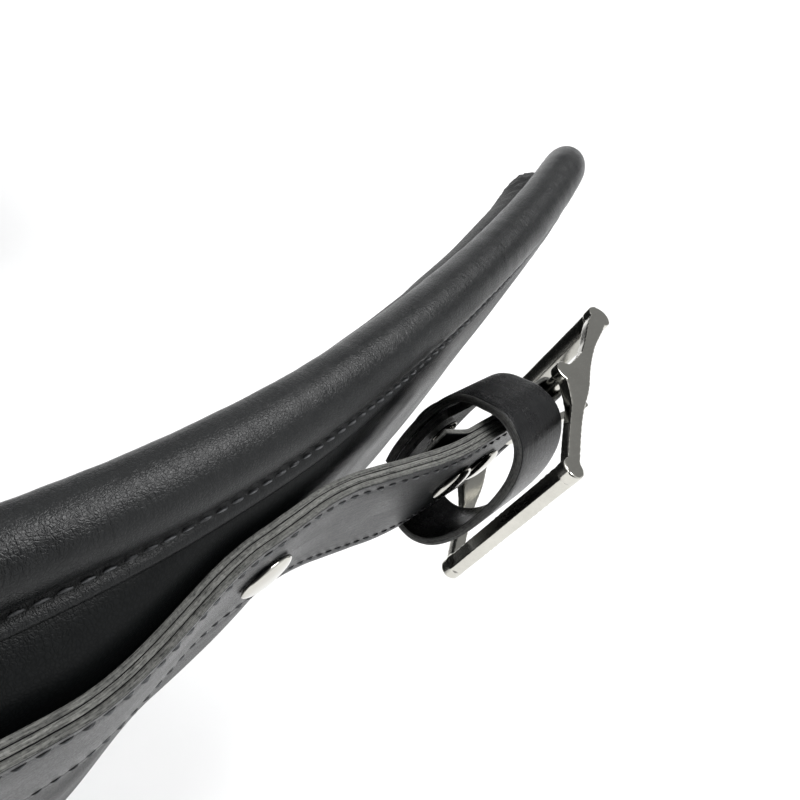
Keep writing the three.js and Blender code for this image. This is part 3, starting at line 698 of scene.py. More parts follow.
def swollen(panel, cap, held):
    """Lets air-filled cloth pinned at its seams find its shape, and returns how far each point moved."""
    rest = panel.points(-0.4)
    made = grid_object("cloth_form", rest, [], flip=panel.side > 0)
    if pushes_inward(made, panel):
        made.data.flip_normals()
    free = panel.freedom(held).ravel()
    group = made.vertex_groups.new(name="sewn")
    for index in np.nonzero(free < 0.02)[0].tolist():
        group.add([index], 1.0, "REPLACE")
    cloth = made.modifiers.new("cloth", "CLOTH")
    settings = cloth.settings
    settings.vertex_group_mass = "sewn"
    settings.quality = 6
    settings.mass = 0.35
    settings.tension_stiffness = 12
    settings.compression_stiffness = 8
    settings.shear_stiffness = 6
    settings.bending_stiffness = 2.5
    settings.shrink_min = CLOTH_SHRINK
    settings.use_pressure = True
    settings.uniform_pressure_force = CLOTH_PRESSURE
    settings.effector_weights.gravity = 0
    cloth.collision_settings.use_collision = False
    scene = bpy.context.scene
    cloth.point_cache.frame_start = 1
    cloth.point_cache.frame_end = CLOTH_FRAMES
    for number in range(1, CLOTH_FRAMES + 1):
        scene.frame_set(number)
    graph = bpy.context.evaluated_depsgraph_get()
    form = made.evaluated_get(graph).data
    moved = np.array([v.co for v in form.vertices]).reshape(rest.shape) / MM - SHIFT - rest
    scene.frame_set(1)
    remove(made)
    for _ in range(5):
        around = (moved[:-2, 1:-1] + moved[2:, 1:-1] + moved[1:-1, :-2] + moved[1:-1, 2:]) / 4
        moved[1:-1, 1:-1] = lerp(moved[1:-1, 1:-1], around, 0.6)
    size = np.linalg.norm(moved, axis=-1, keepdims=True)
    limit = cap * panel.freedom(held)[..., None]
    return moved * np.minimum(1, limit / np.maximum(size, 1e-6))


def pushes_inward(made, panel):
    made.data.update()
    middle = made.data.polygons[len(made.data.polygons) // 2]
    away = Vector((middle.center.x - SHIFT[0] * MM, middle.center.y - SHIFT[1] * MM, 0)).normalized()
    return (middle.normal.dot(away) > 0) != (panel.side > 0)


def spread(values, rows, columns):
    """Values on a coarse grid read on a finer one."""
    old_rows, old_columns = values.shape[:2]
    at_rows = np.linspace(0, old_rows - 1, rows)
    at_columns = np.linspace(0, old_columns - 1, columns)
    low_i = np.minimum(at_rows.astype(int), old_rows - 2)
    low_j = np.minimum(at_columns.astype(int), old_columns - 2)
    a = (at_rows - low_i)[:, None, None]
    b = (at_columns - low_j)[None, :, None]
    first = lerp(values[low_i][:, low_j], values[low_i][:, low_j + 1], b)
    second = lerp(values[low_i + 1][:, low_j], values[low_i + 1][:, low_j + 1], b)
    return lerp(first, second, a)


def gathers(panel):
    """Small pleats where the leather is drawn round the rounded end of the wing."""
    s = np.abs(panel.station)
    inside, _ = edge_distance(panel.station, panel.height)
    inside = np.minimum(inside, WING_END - PANEL_INSET - s)
    middle = RIM_HEIGHT - WING_HEIGHT / 2
    angle = np.arctan2(panel.height - middle, s - (WING_END - WING_HEIGHT / 2))
    zone = smooth((s - (WING_END - 62)) / 40)
    fade = np.exp(-((inside - 2.5) / 9) ** 2) * smooth(inside / 2)
    wave = np.sin(angle * 52 + 0.8 * np.sin(angle * 9)) * (0.75 + 0.25 * np.sin(angle * 17))
    return 1.1 * zone * fade * wave


def place_panel(name, fine, moved, unevenness, material, thickness, mirror):
    rows, columns = fine.height.shape
    free = smooth(edge_distance(fine.station, fine.height)[0] / 12)
    extra = unevenness(fine.station, fine.height) * 0.2 * free + gathers(fine)
    points = fine.points(extra) + spread(moved, rows, columns)
    if mirror:
        points = mirrored(points)
    made = grid_object(name, points, [material], flip=(fine.side > 0) != mirror)
    thicken = made.modifiers.new("thickness", "SOLIDIFY")
    thicken.thickness = thickness * MM
    thicken.offset = -1
    return made


def wing_stations(step):
    middle = np.arange(SEAM + GAP, WING_END - 24, step)
    near = WING_END - PANEL_INSET - 18.6 * (1 - np.sin(np.linspace(0, math.pi / 2, round(30 / step) + 2)))
    return np.concatenate([middle, near])


def swelling(panel, cap, held):
    return swollen(panel, cap, held)


def make_panels():
    """The outer face and the lining of the front and of both wings."""
    made = {}
    front_coarse = np.linspace(-SEAM + GAP, SEAM - GAP, 61)
    front_fine = np.linspace(-SEAM + GAP, SEAM - GAP, 161)
    faces = [("cover", outer_bulge, 1, COVER_LEATHER, 1.3, 7, ripple(3, 90, 22), under_strap, 0.7),
             ("lining", inner_bulge, -1, LINING_LEATHER, 1.1, 2.2, ripple(5, 60, 14), not_held, 1.4)]
    for face, bulge, side, material, thickness, cap, uneven, held, wing_cap in faces:
        moved = swelling(Panel(front_coarse, 18, bulge, side, (-SEAM, SEAM)), cap, not_held)
        fine = Panel(front_fine, 66, bulge, side, (-SEAM, SEAM))
        name = f"front_{face}_leather"
        made[f"front_{face}"] = place_panel(name, fine, moved, uneven, material, thickness, False)
        moved = swelling(Panel(wing_stations(5), 14, bulge, side, (SEAM,)), wing_cap, held)
        fine = Panel(wing_stations(1.8), 56, bulge, side, (SEAM,))
        for hand, mirror in (("right", False), ("left", True)):
            name = f"{hand}_wing_{face}_leather"
            piece = place_panel(name, fine, moved, uneven, material, thickness, mirror)
            made[f"{hand}_wing_{face}"] = piece
    return made


def seam_stitching():
    """Two rows of stitches beside each upright seam between the front and a wing, on the outer face."""
    centres, alongs, ups = [], [], []
    for seam in (-SEAM, SEAM):
        for beside in (-SEAM_ROW, SEAM_ROW):
            station = seam + beside
            low, high = outline_at(np.array([station]), PANEL_INSET)
            z = np.arange(low[0] + 7, high[0] - 6, STITCH_PITCH)
            s = np.full(z.shape, station)
            dip = SEAM_DIP * (1 - rise(abs(beside), 6)) * rise(edge_distance(s, z)[0], 8)
            offset = face_offset(s, z, outer_bulge(s)) - dip
            row = pad_points(s, offset + 0.1, z)
            outward = pad_points(s, offset + 1.1, z) - row
            centres.append(row)
            alongs.append(directions(row))
            ups.append(outward)
    return thread_object("seam_stitching", *(np.vstack(part) for part in (centres, alongs, ups)), THREAD)


def seam_welts():
    """A narrow leather welt sewn into each upright seam, on the outer and on the inner face."""
    side_line = [(WELT_HALF_WIDTH, -0.1), (WELT_HALF_WIDTH, 1.4)]
    section = [(-beside, below) for beside, below in reversed(side_line)] + [(0, -0.3)] + side_line
    faces = [("cover", outer_bulge, 1, COVER_LEATHER), ("lining", inner_bulge, -1, LINING_LEATHER)]
    for face, bulge, side, material in faces:
        for hand, seam in (("right", SEAM), ("left", -SEAM)):
            low, high = outline_at(np.array([seam]), PANEL_INSET)
            z = np.linspace(low[0], high[0], 120)
            s = np.full(z.shape, seam)
            ground = face_offset(s, z, bulge(s)) - SEAM_DIP * rise(edge_distance(s, z)[0], 8)
            lines = [pad_points(s + beside, side * (ground - below), z) for beside, below in section]
            points = np.stack(lines, 1)
            welt = grid_object(f"{hand}_{face}_welt", points, [material], wrap_columns=True, caps=True)
            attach(welt, "pad")


# ---- rim roll ------------------------------------------------------------------------------------
def rim_path(per_stitch):
    """The rim line unrolled, as stations and heights once round, with a number of places to each stitch."""
    top = np.stack([np.linspace(0, WING_END - WING_CORNER, 400), np.full(400, RIM_HEIGHT)], 1)
    angles = np.radians(np.linspace(90, 0, 60))[1:]
    arc = np.stack([np.cos(angles), np.sin(angles)], 1) * WING_CORNER
    upper = arc + [WING_END - WING_CORNER, RIM_HEIGHT - WING_CORNER]
    lower = arc[::-1] * [1, -1] + [WING_END - WING_CORNER, RIM_HEIGHT - WING_HEIGHT + WING_CORNER]
    stations = np.linspace(WING_END - WING_CORNER, 0, 500)[1:]
    bottom = np.stack([stations, lower_rim(stations)], 1)
    half = np.vstack([top, upper, lower, bottom])
    loop = np.vstack([half, half[-2:0:-1] * [-1, 1], half[:1]])
    run = lengths_along(loop)
    count = per_stitch * 2 * round(run[-1] / STITCH_PITCH / 2)
    at = np.arange(count) * run[-1] / count
    return np.stack([np.interp(at, run, loop[:, k]) for k in range(2)], 1), run[-1]


def away_from(loop):
    """Unit directions away from the pad, in station and height."""
    ahead = np.roll(loop, -1, 0) - np.roll(loop, 1, 0)
    return unit(np.stack([-ahead[:, 1], ahead[:, 0]], 1))


def on_rim(loop, away, outward, beyond):
    """Points beside the rim line: outward from the pad's face, and beyond its edge."""
    station = loop[:, :1] + away[:, :1] * beyond
    height = loop[:, 1:] + away[:, 1:] * beyond
    return pad_points(station, outward, height)


def flange_lines(loop, away, runs):
    """Places on the outer face at given distances from its edge: outward, inward and the tangent there."""
    inward = PANEL_INSET + np.concatenate([[0, 0.02, 0.06, 0.15, 0.3], np.linspace(0.5, 10, 24)])
    s = loop[:, :1] - away[:, :1] * inward
    z = loop[:, 1:] - away[:, 1:] * inward
    out = face_offset(s, z, outer_bulge(s))
    step = np.hypot(np.diff(out, axis=1), np.diff(inward)[None])
    run = np.concatenate([np.zeros((len(loop), 1)), np.cumsum(step, 1)], 1)
    lines = []
    for wanted in runs:
        a = np.array([np.interp(wanted, r, o) for r, o in zip(run, out)])
        d = np.array([np.interp(wanted, r, inward) for r in run])
        lines.append((a, d))
    return lines


def roll_radius(angle, pull):
    dent = SEAM_SINK * np.exp(-(((angle - SEAM_ANGLE) / 10) ** 2))
    return ROLL_RADIUS - 0.1 - dent * pull


def make_roll():
    """The stuffed roll round the rim, with the flange that is sewn to the outer face."""
    loop, total = rim_path(2)
    away = away_from(loop)
    count = len(loop)
    at = np.arange(count) * total / count
    between = np.cos(math.pi * np.arange(count))
    pull = 1 - 0.4 * between
    uneven = ripple(11, 160, 35)
    slack = ripple(13, 14, 5)
    angles = np.concatenate([[SEAM_ANGLE], np.arange(SEAM_ANGLE + 6, 60, 6), np.arange(66, 252, 11)])
    outward, beyond = [], []
    for angle in angles:
        shape = 0.16 * uneven(at, angle * 0.4) + 0.05 * slack(at, angle * 0.11)
        pucker = -0.16 * between * math.exp(-(((angle - SEAM_ANGLE) / 22) ** 2))
        radius = roll_radius(angle, pull) + shape - pucker
        outward.append(radius * math.cos(math.radians(angle)))
        beyond.append(radius * math.sin(math.radians(angle)))
    lines = flange_lines(loop, away, (0.4, 1.3, 2.2, 3.1, 3.6))
    face_a = np.stack([a for a, _ in lines], 1)
    face_d = np.stack([d for _, d in lines], 1)
    slope_a = np.gradient(face_a, axis=1)
    slope_d = np.gradient(face_d, axis=1)
    size = np.hypot(slope_a, slope_d)
    normal_a, normal_d = slope_d / size, -slope_a / size
    top_height = FLANGE_HEIGHT + np.array([0.06, 0, 0.02, -0.06, -0.4])
    drawn_in = np.array([0.10, 0.22, 0.10, 0, 0]) * between[:, None]
    top_a = face_a + normal_a * (top_height + drawn_in)
    top_d = face_d + normal_d * (top_height + drawn_in)
    under_a = face_a + normal_a * 0.12
    under_d = face_d + normal_d * 0.12
    last = math.radians(angles[-1])
    closing = [(ROLL_RADIUS - 0.1) * math.cos(last) * 0.4, (ROLL_RADIUS - 0.1) * math.sin(last) * 0.86]
    outward += [np.full(count, closing[0])] + [under_a[:, k] for k in (0, 2, 4)]
    beyond += [np.full(count, closing[1])] + [-under_d[:, k] for k in (0, 2, 4)]
    outward += [top_a[:, k] for k in range(4, -1, -1)]
    beyond += [-top_d[:, k] for k in range(4, -1, -1)]
    points = on_rim(loop, away, np.stack(outward, 1), np.stack(beyond, 1))
    return grid_object("rim_roll_leather", points, [ROLL_LEATHER], wrap_rows=True, wrap_columns=True)


def roll_stitching():
    """The stitches that hold the flange of the roll to the outer face."""
    loop, _ = rim_path(1)
    away = away_from(loop)
    (near_a, near_d), (here_a, here_d), (far_a, far_d) = flange_lines(loop, away, (0.9, 1.3, 1.7))
    slope = unit(np.stack([far_a - near_a, far_d - near_d], 1))

    def ring(height):
        outward = here_a + slope[:, 1] * height
        beyond = -here_d + slope[:, 0] * height
        return on_rim(loop, away, outward[:, None], beyond[:, None])[:, 0]

    centres = ring(FLANGE_HEIGHT + 0.02)
    alongs = unit(np.roll(centres, -1, 0) - np.roll(centres, 1, 0))
    ups = ring(FLANGE_HEIGHT + 1) - centres
    return thread_object("rim_roll_stitching", centres, alongs, ups, ROLL_THREAD)


# ---- straps --------------------------------------------------------------------------------------
def ribbon_section(half, thickness, groove):
    """Places on half a flat strip's face: distance from the middle line, and height above mid thickness."""
    top = thickness / 2
    inner = half - 6
    return [(0, top), (inner * 0.4, top), (inner * 0.8, top), (half - 4.4, top),
            (half - 3.7, top - groove), (half - 2.9, top - groove), (half - 2.1, top),
            (half - 0.7, top - 0.01), (half - 0.12, top - 0.05), (half, top - 0.34 * thickness)]


def ribbon_object(name, centres, outs, across, halves, thickness, materials, groove=0.14, roughness=0.12,
                  seed=1):
    """A leather strip with slightly rounded, slightly uneven raw edges, and a groove for its stitches."""
    run = lengths_along(centres)
    upper = np.stack([np.stack(ribbon_section(half, thickness, groove)) for half in halves])
    lower = np.stack([np.stack(ribbon_section(half, thickness, 0)) for half in halves])
    right_low = lower[:, ::-1] * [1, -1]
    left_low = lower[:, 1:] * [-1, -1]
    left_top = upper[:, ::-1][:, :-1] * [-1, 1]
    section = np.concatenate([upper, right_low, left_low, left_top], 1)
    fray = ripple(seed, 26, 4)
    worn = fray(run, 0 * run) * roughness
    frayed = np.abs(section[..., 0]) > halves[:, None] - 1.0
    section[..., 0] += np.where(frayed, np.sign(section[..., 0]) * worn[:, None], 0)
    points = centres[:, None] + across[:, None] * section[..., :1] + outs[:, None] * section[..., 1:]
    total = section.shape[1]
    edge_columns = [0] * total
    first = upper.shape[1] - 2
    for start in range(first, first + 3):
        edge_columns[start] = 1
        edge_columns[(total - start - 1) % total] = 1
    return grid_object(name, points, materials, wrap_columns=True, caps=True, column_slots=edge_columns)


def strap_ribbon(name, table, distances, depth, thickness, materials, flip=False, **looks):
    """One layer of a tab and its free strap, at a depth under the outer surface."""
    centres = table.points(distances, 0 * distances, 0 * distances + depth + thickness / 2)
    lifted = table.points(distances, 0 * distances + 1, 0 * distances + depth + thickness / 2)
    outs = table.out(distances)
    halves = table.read(table.half, distances)
    across = lifted - centres
    if flip:
        centres, outs, across = mirrored(centres), mirrored(outs), mirrored(across)
    return ribbon_object(name, centres, outs, across, halves, thickness, materials, **looks)


def strap_distances(table, end, step=1.6):
    start = table.distance[0]
    tip = start + 20 * (1 - np.cos(np.linspace(0, math.pi / 2, 16)))
    return np.concatenate([tip[:-1], np.arange(tip[-1], end, step), [end]])


def folded_rows():
    """The outer layer, round the centre bar and back inside: centre line, outward, across, half width."""
    outer_half = LAYER_OUTER / 2
    bar_depth = LAYER_OUTER + FOLD_RADIUS
    back_depth = STRAP_THICKNESS + LAYER_GAP + outer_half
    fold_depth = bar_depth + FOLD_RADIUS + outer_half
    distances = strap_distances(buckle_strap, BAR_STATION - 0.4)
    rows = [(d, outer_half, 0.0) for d in distances]
    radius = FOLD_RADIUS + outer_half
    for degrees in np.linspace(0, 180, 17):
        ahead = radius * math.sin(math.radians(degrees))
        rows.append((BAR_STATION, bar_depth - radius * math.cos(math.radians(degrees)), ahead))
    for d in np.arange(BAR_STATION - 1.2, 37, -1.2):
        spread_out = float(smooth((d - 66) / 14))
        curl = 2.4 * float(smooth((45 - d) / 9))
        rows.append((d, lerp(back_depth, fold_depth, spread_out) + curl, 0.0))
    distance, depth, ahead = (np.array(column) for column in zip(*rows))
    heading = walk(HINGE_START, BUCKLE_PATH, BAR_STATION)[2]
    forward = np.array([-math.sin(heading), math.cos(heading), STRAP_SLOPE])
    centres = buckle_strap.points(distance, 0 * distance, depth) + ahead[:, None] * forward
    lifted = buckle_strap.points(distance, 0 * distance + 1, depth) + ahead[:, None] * forward
    flat = directions(centres[:, :2])
    outs = np.stack([flat[:, 1], -flat[:, 0], 0 * flat[:, 0]], 1)
    halves = buckle_strap.read(buckle_strap.half, distance)
    return centres, outs, lifted - centres, halves


def outline_row(table, end, inset, depth):
    """A stitch row that follows the outline of a tab and strap at an inset from its edge."""
    distances = strap_distances(table, end, 1.0)
    half = table.read(table.half, distances)
    closed = table is tail_strap
    upper = np.stack([distances, half], 1)[::-1]
    lower = np.stack([distances, -half], 1)
    line = np.vstack([upper, lower])
    if closed:
        line = np.vstack([line, upper[:1]])
    line = resampled(line, 0.5)
    ahead = directions(line)
    normal = np.stack([-ahead[:, 1], ahead[:, 0]], 1)
    if (line[len(line) // 2] + normal[len(line) // 2] * 5)[0] < line[len(line) // 2][0]:
        normal = -normal
    inner = line + normal * inset
    keep = inner[:, 0] > distances[0] + inset - 0.3
    keep &= inner[:, 0] < end - (inset if closed else 0) + 0.3
    keep &= np.abs(inner[:, 1]) <= np.interp(inner[:, 0], distances, half) - inset + 0.4
    inner = resampled(inner[keep], STITCH_PITCH)
    centre_shift = table.points(inner[:, 0], inner[:, 1], 0 * inner[:, 0] + depth)
    outs = table.out(inner[:, 0])
    return centre_shift, directions(centre_shift), outs


def slot_tool(origin, axes, half_width, from_along, to_along, reach):
    """A tall rounded slot to cut a hole through leather, as a closed prism."""
    angles = np.linspace(0, math.pi, 9)
    ahead = to_along - half_width
    behind = from_along + half_width
    outline = [(half_width * math.cos(a), ahead + half_width * math.sin(a)) for a in angles]
    outline += [(-half_width * math.cos(a), behind - half_width * math.sin(a)) for a in angles]
    rows = []
    for depth in (-reach, reach):
        rows.append([origin + axes @ np.array([depth, along, across]) for across, along in outline])
    return grid_object("slot_tool", np.array(rows), [], wrap_columns=True, caps=True)


def hole_tool(origin, out, up, radius, reach):
    """A round rod to cut a hole through leather."""
    outline = [(1e-4, -reach), (radius, -reach), (radius, reach), (1e-4, reach)]
    return lathe("hole_tool", outline, origin, out, up, [], segments=28)


HINGE_PLACE = np.array([HINGE_START[0], HINGE_START[1], RIM_HEIGHT - STRAP_DROP])
HINGE_ALONG = np.array([-math.sin(HINGE_HEADING), math.cos(HINGE_HEADING), 0])


def bends_with(piece, flip=False):
    """Bakes the piece's placement into its mesh; the start and end of the hinge's bend line are worked out
    but not used.
    """
    start = HINGE_PLACE
    end = HINGE_PLACE + HINGE_ALONG * STRAP_BEND_LENGTH
    if flip:
        start, end = mirrored(start), mirrored(end)
    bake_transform(piece)


def make_buckle_strap(layers):
    """The buckle strap: the outer layer folds round the centre bar and is slotted there for the prong."""
    centres, outs, across, halves = folded_rows()
    outer = ribbon_object("buckle_strap_outer_leather", centres, outs, across, halves, OUTER_LOOK,
                          [STRAP_LEATHER, STRAP_EDGE], seed=21)
    origin, axes = strap_frame(BAR_STATION, LAYER_OUTER + FOLD_RADIUS)
    cut_away(outer, [slot_tool(origin, axes, 3.3, -9, 7, 9)])
    replaced = ["right_tab_outer", "buckle_strap_outer"]
    pieces = [(outer, "buckle_strap", False, "strap_leather", replaced)]
    distances = strap_distances(buckle_strap, LAYER_STOP)
    for index, (layer, depth, thickness, edge, slot, groove) in enumerate(layers):
        piece = strap_ribbon(f"buckle_strap_{layer}_leather", buckle_strap, distances, depth, thickness,
                             [STRAP_LEATHER, edge], groove=groove, seed=22 + index)
        replaced = [f"right_tab_{layer}", f"buckle_strap_{layer}"]
        pieces.append((piece, "buckle_strap", False, slot, replaced))
    return pieces


def make_tail_strap(layers):
    """The tail strap: all of its layers run to the rounded end and are punched for the prong."""
    pieces = []
    distances = strap_distances(tail_strap, TAIL_LENGTH)
    for index, (layer, depth, thickness, edge, slot, groove) in enumerate(layers):
        piece = strap_ribbon(f"tail_strap_{layer}_leather", tail_strap, distances, depth, thickness,
                             [STRAP_LEATHER, edge], flip=True, groove=groove, seed=31 + index)
        tools = []
        for distance in TAIL_HOLES:
            at = np.array([float(distance)])
            centre = mirrored(tail_strap.points(at, 0 * at, 0 * at + STRAP_THICKNESS / 2)[0])
            out = mirrored(tail_strap.out(at)[0])
            tools.append(hole_tool(centre, out, (0, 0, 1), TAIL_HOLE_RADIUS, 6))
        cut_away(piece, tools)
        replaced = [f"left_tab_{layer}", f"tail_strap_{layer}"]
        pieces.append((piece, "tail_strap", True, slot, replaced))
    return pieces


def strap_stitching(body, table, flip, end):
    """The stitches of a strap: all round its outer face, and along the free part of its inner face."""
    pieces = []
    for label, depth, inner in (("stitching", 0.02, False), ("inner_stitching", STRAP_THICKNESS, True)):
        centres, alongs, outs = outline_row(table, end, STITCH_INSET, depth)
        if inner:
            free = centres[:, 1] > HINGE_PLACE[1] + 6
            centres, alongs, outs = centres[free], alongs[free], -outs[free]
        if flip:
            centres, alongs, outs = mirrored(centres), mirrored(alongs), mirrored(outs)
        row = thread_object(f"{body}_{label}", centres, alongs, outs, THREAD)
        pieces.append((row, body, flip, "strap_leather", []))
    return pieces


def make_straps():
    """Both straps and their stitches. A layer is (name, depth, thickness, edge, slot, stitch groove)."""
    middle_depth = LAYER_OUTER + LAYER_GAP
    layers = [("outer", 0, OUTER_LOOK, STRAP_EDGE, "strap_leather", 0.14),
              ("middle", middle_depth - 0.06, 1.14, CORE_EDGE, "strap_core", 0.0),
              ("inner", middle_depth + 1.14, LAYER_OUTER + 0.08, STRAP_EDGE, "strap_leather", 0.0)]
    pieces = make_buckle_strap(layers[1:]) + make_tail_strap(layers)
    pieces += strap_stitching("buckle_strap", buckle_strap, False, LAYER_STOP - 2)
    pieces += strap_stitching("tail_strap", tail_strap, True, TAIL_LENGTH)
    for piece, body, flip, slot, replaced in pieces:
        if replaced:
            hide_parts(*replaced)
        bends_with(piece, flip)


# ---- rivets --------------------------------------------------------------------------------------
def dome_outline(radius, height, post):
    """A domed cap with a rolled edge, down to the hidden end of its post."""
    dome = [(radius * math.cos(a), GAP + 0.45 + (height - 0.45) * math.sin(a)) for a in
            np.radians(np.linspace(0, 88, 12))]
    lip = [(radius - 0.35, GAP), (radius - 0.08, GAP + 0.16)]
    return [(1e-3, -post), (1.5, -post), (1.5, GAP), *lip, *dome, (1e-3, GAP + height)]


def washer_outline(radius, grip):
    top = -grip - GAP
    return [(1e-3, top - 1.3), (radius - 1.4, top - 1.3), (radius - 0.5, top - 1.05),
            (radius - 0.05, top - 0.6), (radius - 0.05, top - 0.1), (radius - 0.3, top),
            (1.9, top), (1.9, top - 0.5), (1e-3, top - 0.5)]


def make_rivets():
    stations = np.array([RIVET_STATION - 0.5, RIVET_STATION + 0.5])
    before, here = tab_line(stations)
    along = unit(np.append(here - before, 0))
    tab_out = np.cross(along, [0, 0, 1])
    tab_place = np.append((before + here) / 2, strap_height(0))
    tab_grip = STRAP_THICKNESS + GAP + COVER
    outline = dome_outline(RIVET_RADIUS, DOME_HEIGHT, tab_grip)
    for hand, side in (("right", 1), ("left", -1)):
        turn = np.array([side, 1, 1])
        cap = lathe(f"{hand}_tab_rivet_dome", outline, tab_place * turn, tab_out * turn, (0, 0, 1),
                    [RIVET_NICKEL])
        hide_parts(f"{hand}_tab_rivet_cap")
        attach(cap, "pad")
    fold_grip = STRAP_THICKNESS + LAYER_GAP + LAYER_OUTER
    for index, distance in enumerate(FOLD_RIVETS):
        origin, axes = strap_frame(distance, 0)
        outline = dome_outline(RIVET_RADIUS, DOME_HEIGHT, fold_grip)
        cap = lathe(f"fold_rivet_dome_{index + 1}", outline, origin, axes[:, 0], axes[:, 2], [RIVET_NICKEL])
        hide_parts(f"fold_rivet_cap_{index + 1}")
        back = lathe(f"fold_rivet_washer_{index + 1}", washer_outline(4.6, fold_grip), origin,
                     axes[:, 0], axes[:, 2], [RIVET_NICKEL])
        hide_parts(f"fold_rivet_back_{index + 1}")
        for piece in (cap, back):
            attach(piece, "buckle_strap")
    origin, axes = strap_frame(KEEPER_START, 0)
    depth, _ = keeper_point(180, 0)
    lapped = KEEPER_WALL / 2 + KEEPER_WALL + GAP + 0.1
    place = origin + axes @ np.array([depth - lapped, KEEPER_LENGTH / 2, 0])
    grip = 2 * KEEPER_WALL + GAP + 0.1
    inward, upward = -axes[:, 0], axes[:, 2]
    outline = dome_outline(KEEPER_RIVET_RADIUS, DOME_HEIGHT, grip)
    cap = lathe("keeper_rivet_dome", outline, place, inward, upward, [RIVET_NICKEL])
    outline = washer_outline(4.2, grip)
    back = lathe("keeper_rivet_washer", outline, place, inward, upward, [RIVET_NICKEL])
    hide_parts("keeper_rivet_cap")
    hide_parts("keeper_rivet_back")
    for piece in (cap, back):
        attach(piece, "keeper")


# ---- keeper --------------------------------------------------------------------------------------
def keeper_point(degrees, extra):
    def squarish(value):
        return math.copysign(abs(value) ** 0.85, value)

    angle = math.radians(degrees)
    deep = KEEPER_HALF_DEPTH + extra
    tall = KEEPER_HALF_HEIGHT + extra
    return KEEPER_SHIFT + deep * squarish(math.cos(angle)), tall * squarish(math.sin(angle))


def make_keeper():
    """One strip of leather rolled into an oval, its ends lapped on the side next to the pad."""
    line = []
    for degrees in np.linspace(180 - KEEPER_LAP, 540 + KEEPER_LAP, 260):
        extra = (KEEPER_WALL + GAP + 0.1) * float(smooth((degrees - 470) / (540 - KEEPER_LAP - 6 - 470)))
        line.append(keeper_point(degrees, extra))
    line = resampled(np.array(line), 1.1)
    ahead = directions(line)
    origin, axes = strap_frame(KEEPER_START, 0)
    local = np.stack([line[:, 0], np.full(len(line), KEEPER_LENGTH / 2), line[:, 1]], 1)
    centres = origin + local @ axes.T
    outward = np.stack([ahead[:, 1], 0 * ahead[:, 0], -ahead[:, 0]], 1)
    outs = outward @ axes.T
    across = np.tile(axes[:, 1], (len(line), 1))
    halves = np.full(len(line), KEEPER_LENGTH / 2)
    keeper = ribbon_object("keeper_leather", centres, outs, across, halves, KEEPER_WALL,
                           [KEEPER_LEATHER, KEEPER_EDGE], groove=0.0, roughness=0.1, seed=41)
    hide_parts("keeper_loop")
    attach(keeper, "keeper")


# ---- buckle --------------------------------------------------------------------------------------
BAR_ORIGIN, BAR_AXES = strap_frame(BAR_STATION, LAYER_OUTER + FOLD_RADIUS)
HEEL_POINT = np.array([math.sin(HEEL_ANGLE), -math.cos(HEEL_ANGLE)]) * HEEL_REACH
ROLLER_POINT = np.array([-math.sin(ROLLER_ANGLE), math.cos(ROLLER_ANGLE)]) * ROLLER_REACH


def buckle_space(local):
    return BAR_ORIGIN + np.asarray(local) @ BAR_AXES.T


def prism(outline, low, high):
    """A closed prism in buckle space from an outline of (outward, along), between two places across."""
    outline = np.asarray(outline)
    rows = [np.column_stack([outline, np.full(len(outline), z)]) for z in (low, high)]
    points = np.array([buckle_space(row) for row in rows])
    return grid_object("blank", points, [], wrap_columns=True, caps=True)


def rod(centre, radius, low, high, segments=40):
    angles = np.linspace(0, 2 * math.pi, segments, endpoint=False)
    outline = np.stack([centre[0] + radius * np.cos(angles), centre[1] + radius * np.sin(angles)], 1)
    return prism(outline, low, high)


def bent_strip(start, bend, end, halves, count=48):
    """The outline of a strip whose width changes along a bent line."""
    t = np.linspace(0, 1, count)[:, None]
    line = (1 - t) ** 2 * start + 2 * t * (1 - t) * bend + t**2 * end
    ahead = directions(line)
    normal = np.stack([ahead[:, 1], -ahead[:, 0]], 1)
    width = halves(t)
    return np.vstack([line + normal * width, (line - normal * width)[::-1]])


def cast(name, blanks, voxel, smoothing, material):
    """Fuses overlapping blanks into one metal piece with softly rounded edges."""
    with bpy.context.temp_override(active_object=blanks[0], selected_editable_objects=blanks):
        bpy.ops.object.join()
    made = blanks[0]
    made.name = name
    melt = made.modifiers.new("melt", "REMESH")
    melt.mode = "VOXEL"
    melt.voxel_size = voxel * MM
    melt.use_smooth_shade = True
    polish = made.modifiers.new("polish", "SMOOTH")
    polish.factor = 0.5
    polish.iterations = smoothing
    settle(made)
    made.data.name = name
    made.data.materials.clear()
    made.data.materials.append(material)
    made.data.polygons.foreach_set("use_smooth", np.ones(len(made.data.polygons), bool))
    return made


def rail_width(t):
    """Half width of a side rail: it flares where the centre bar joins and at the roller's end."""
    junction = 0.9 * np.exp(-(((t - 0.47) / 0.12) ** 2))
    return RAIL_HALF - 0.7 + junction + 0.9 * smooth((t - 0.74) / 0.2)


def brace_width(t):
    return 2.4 - 1.3 * t


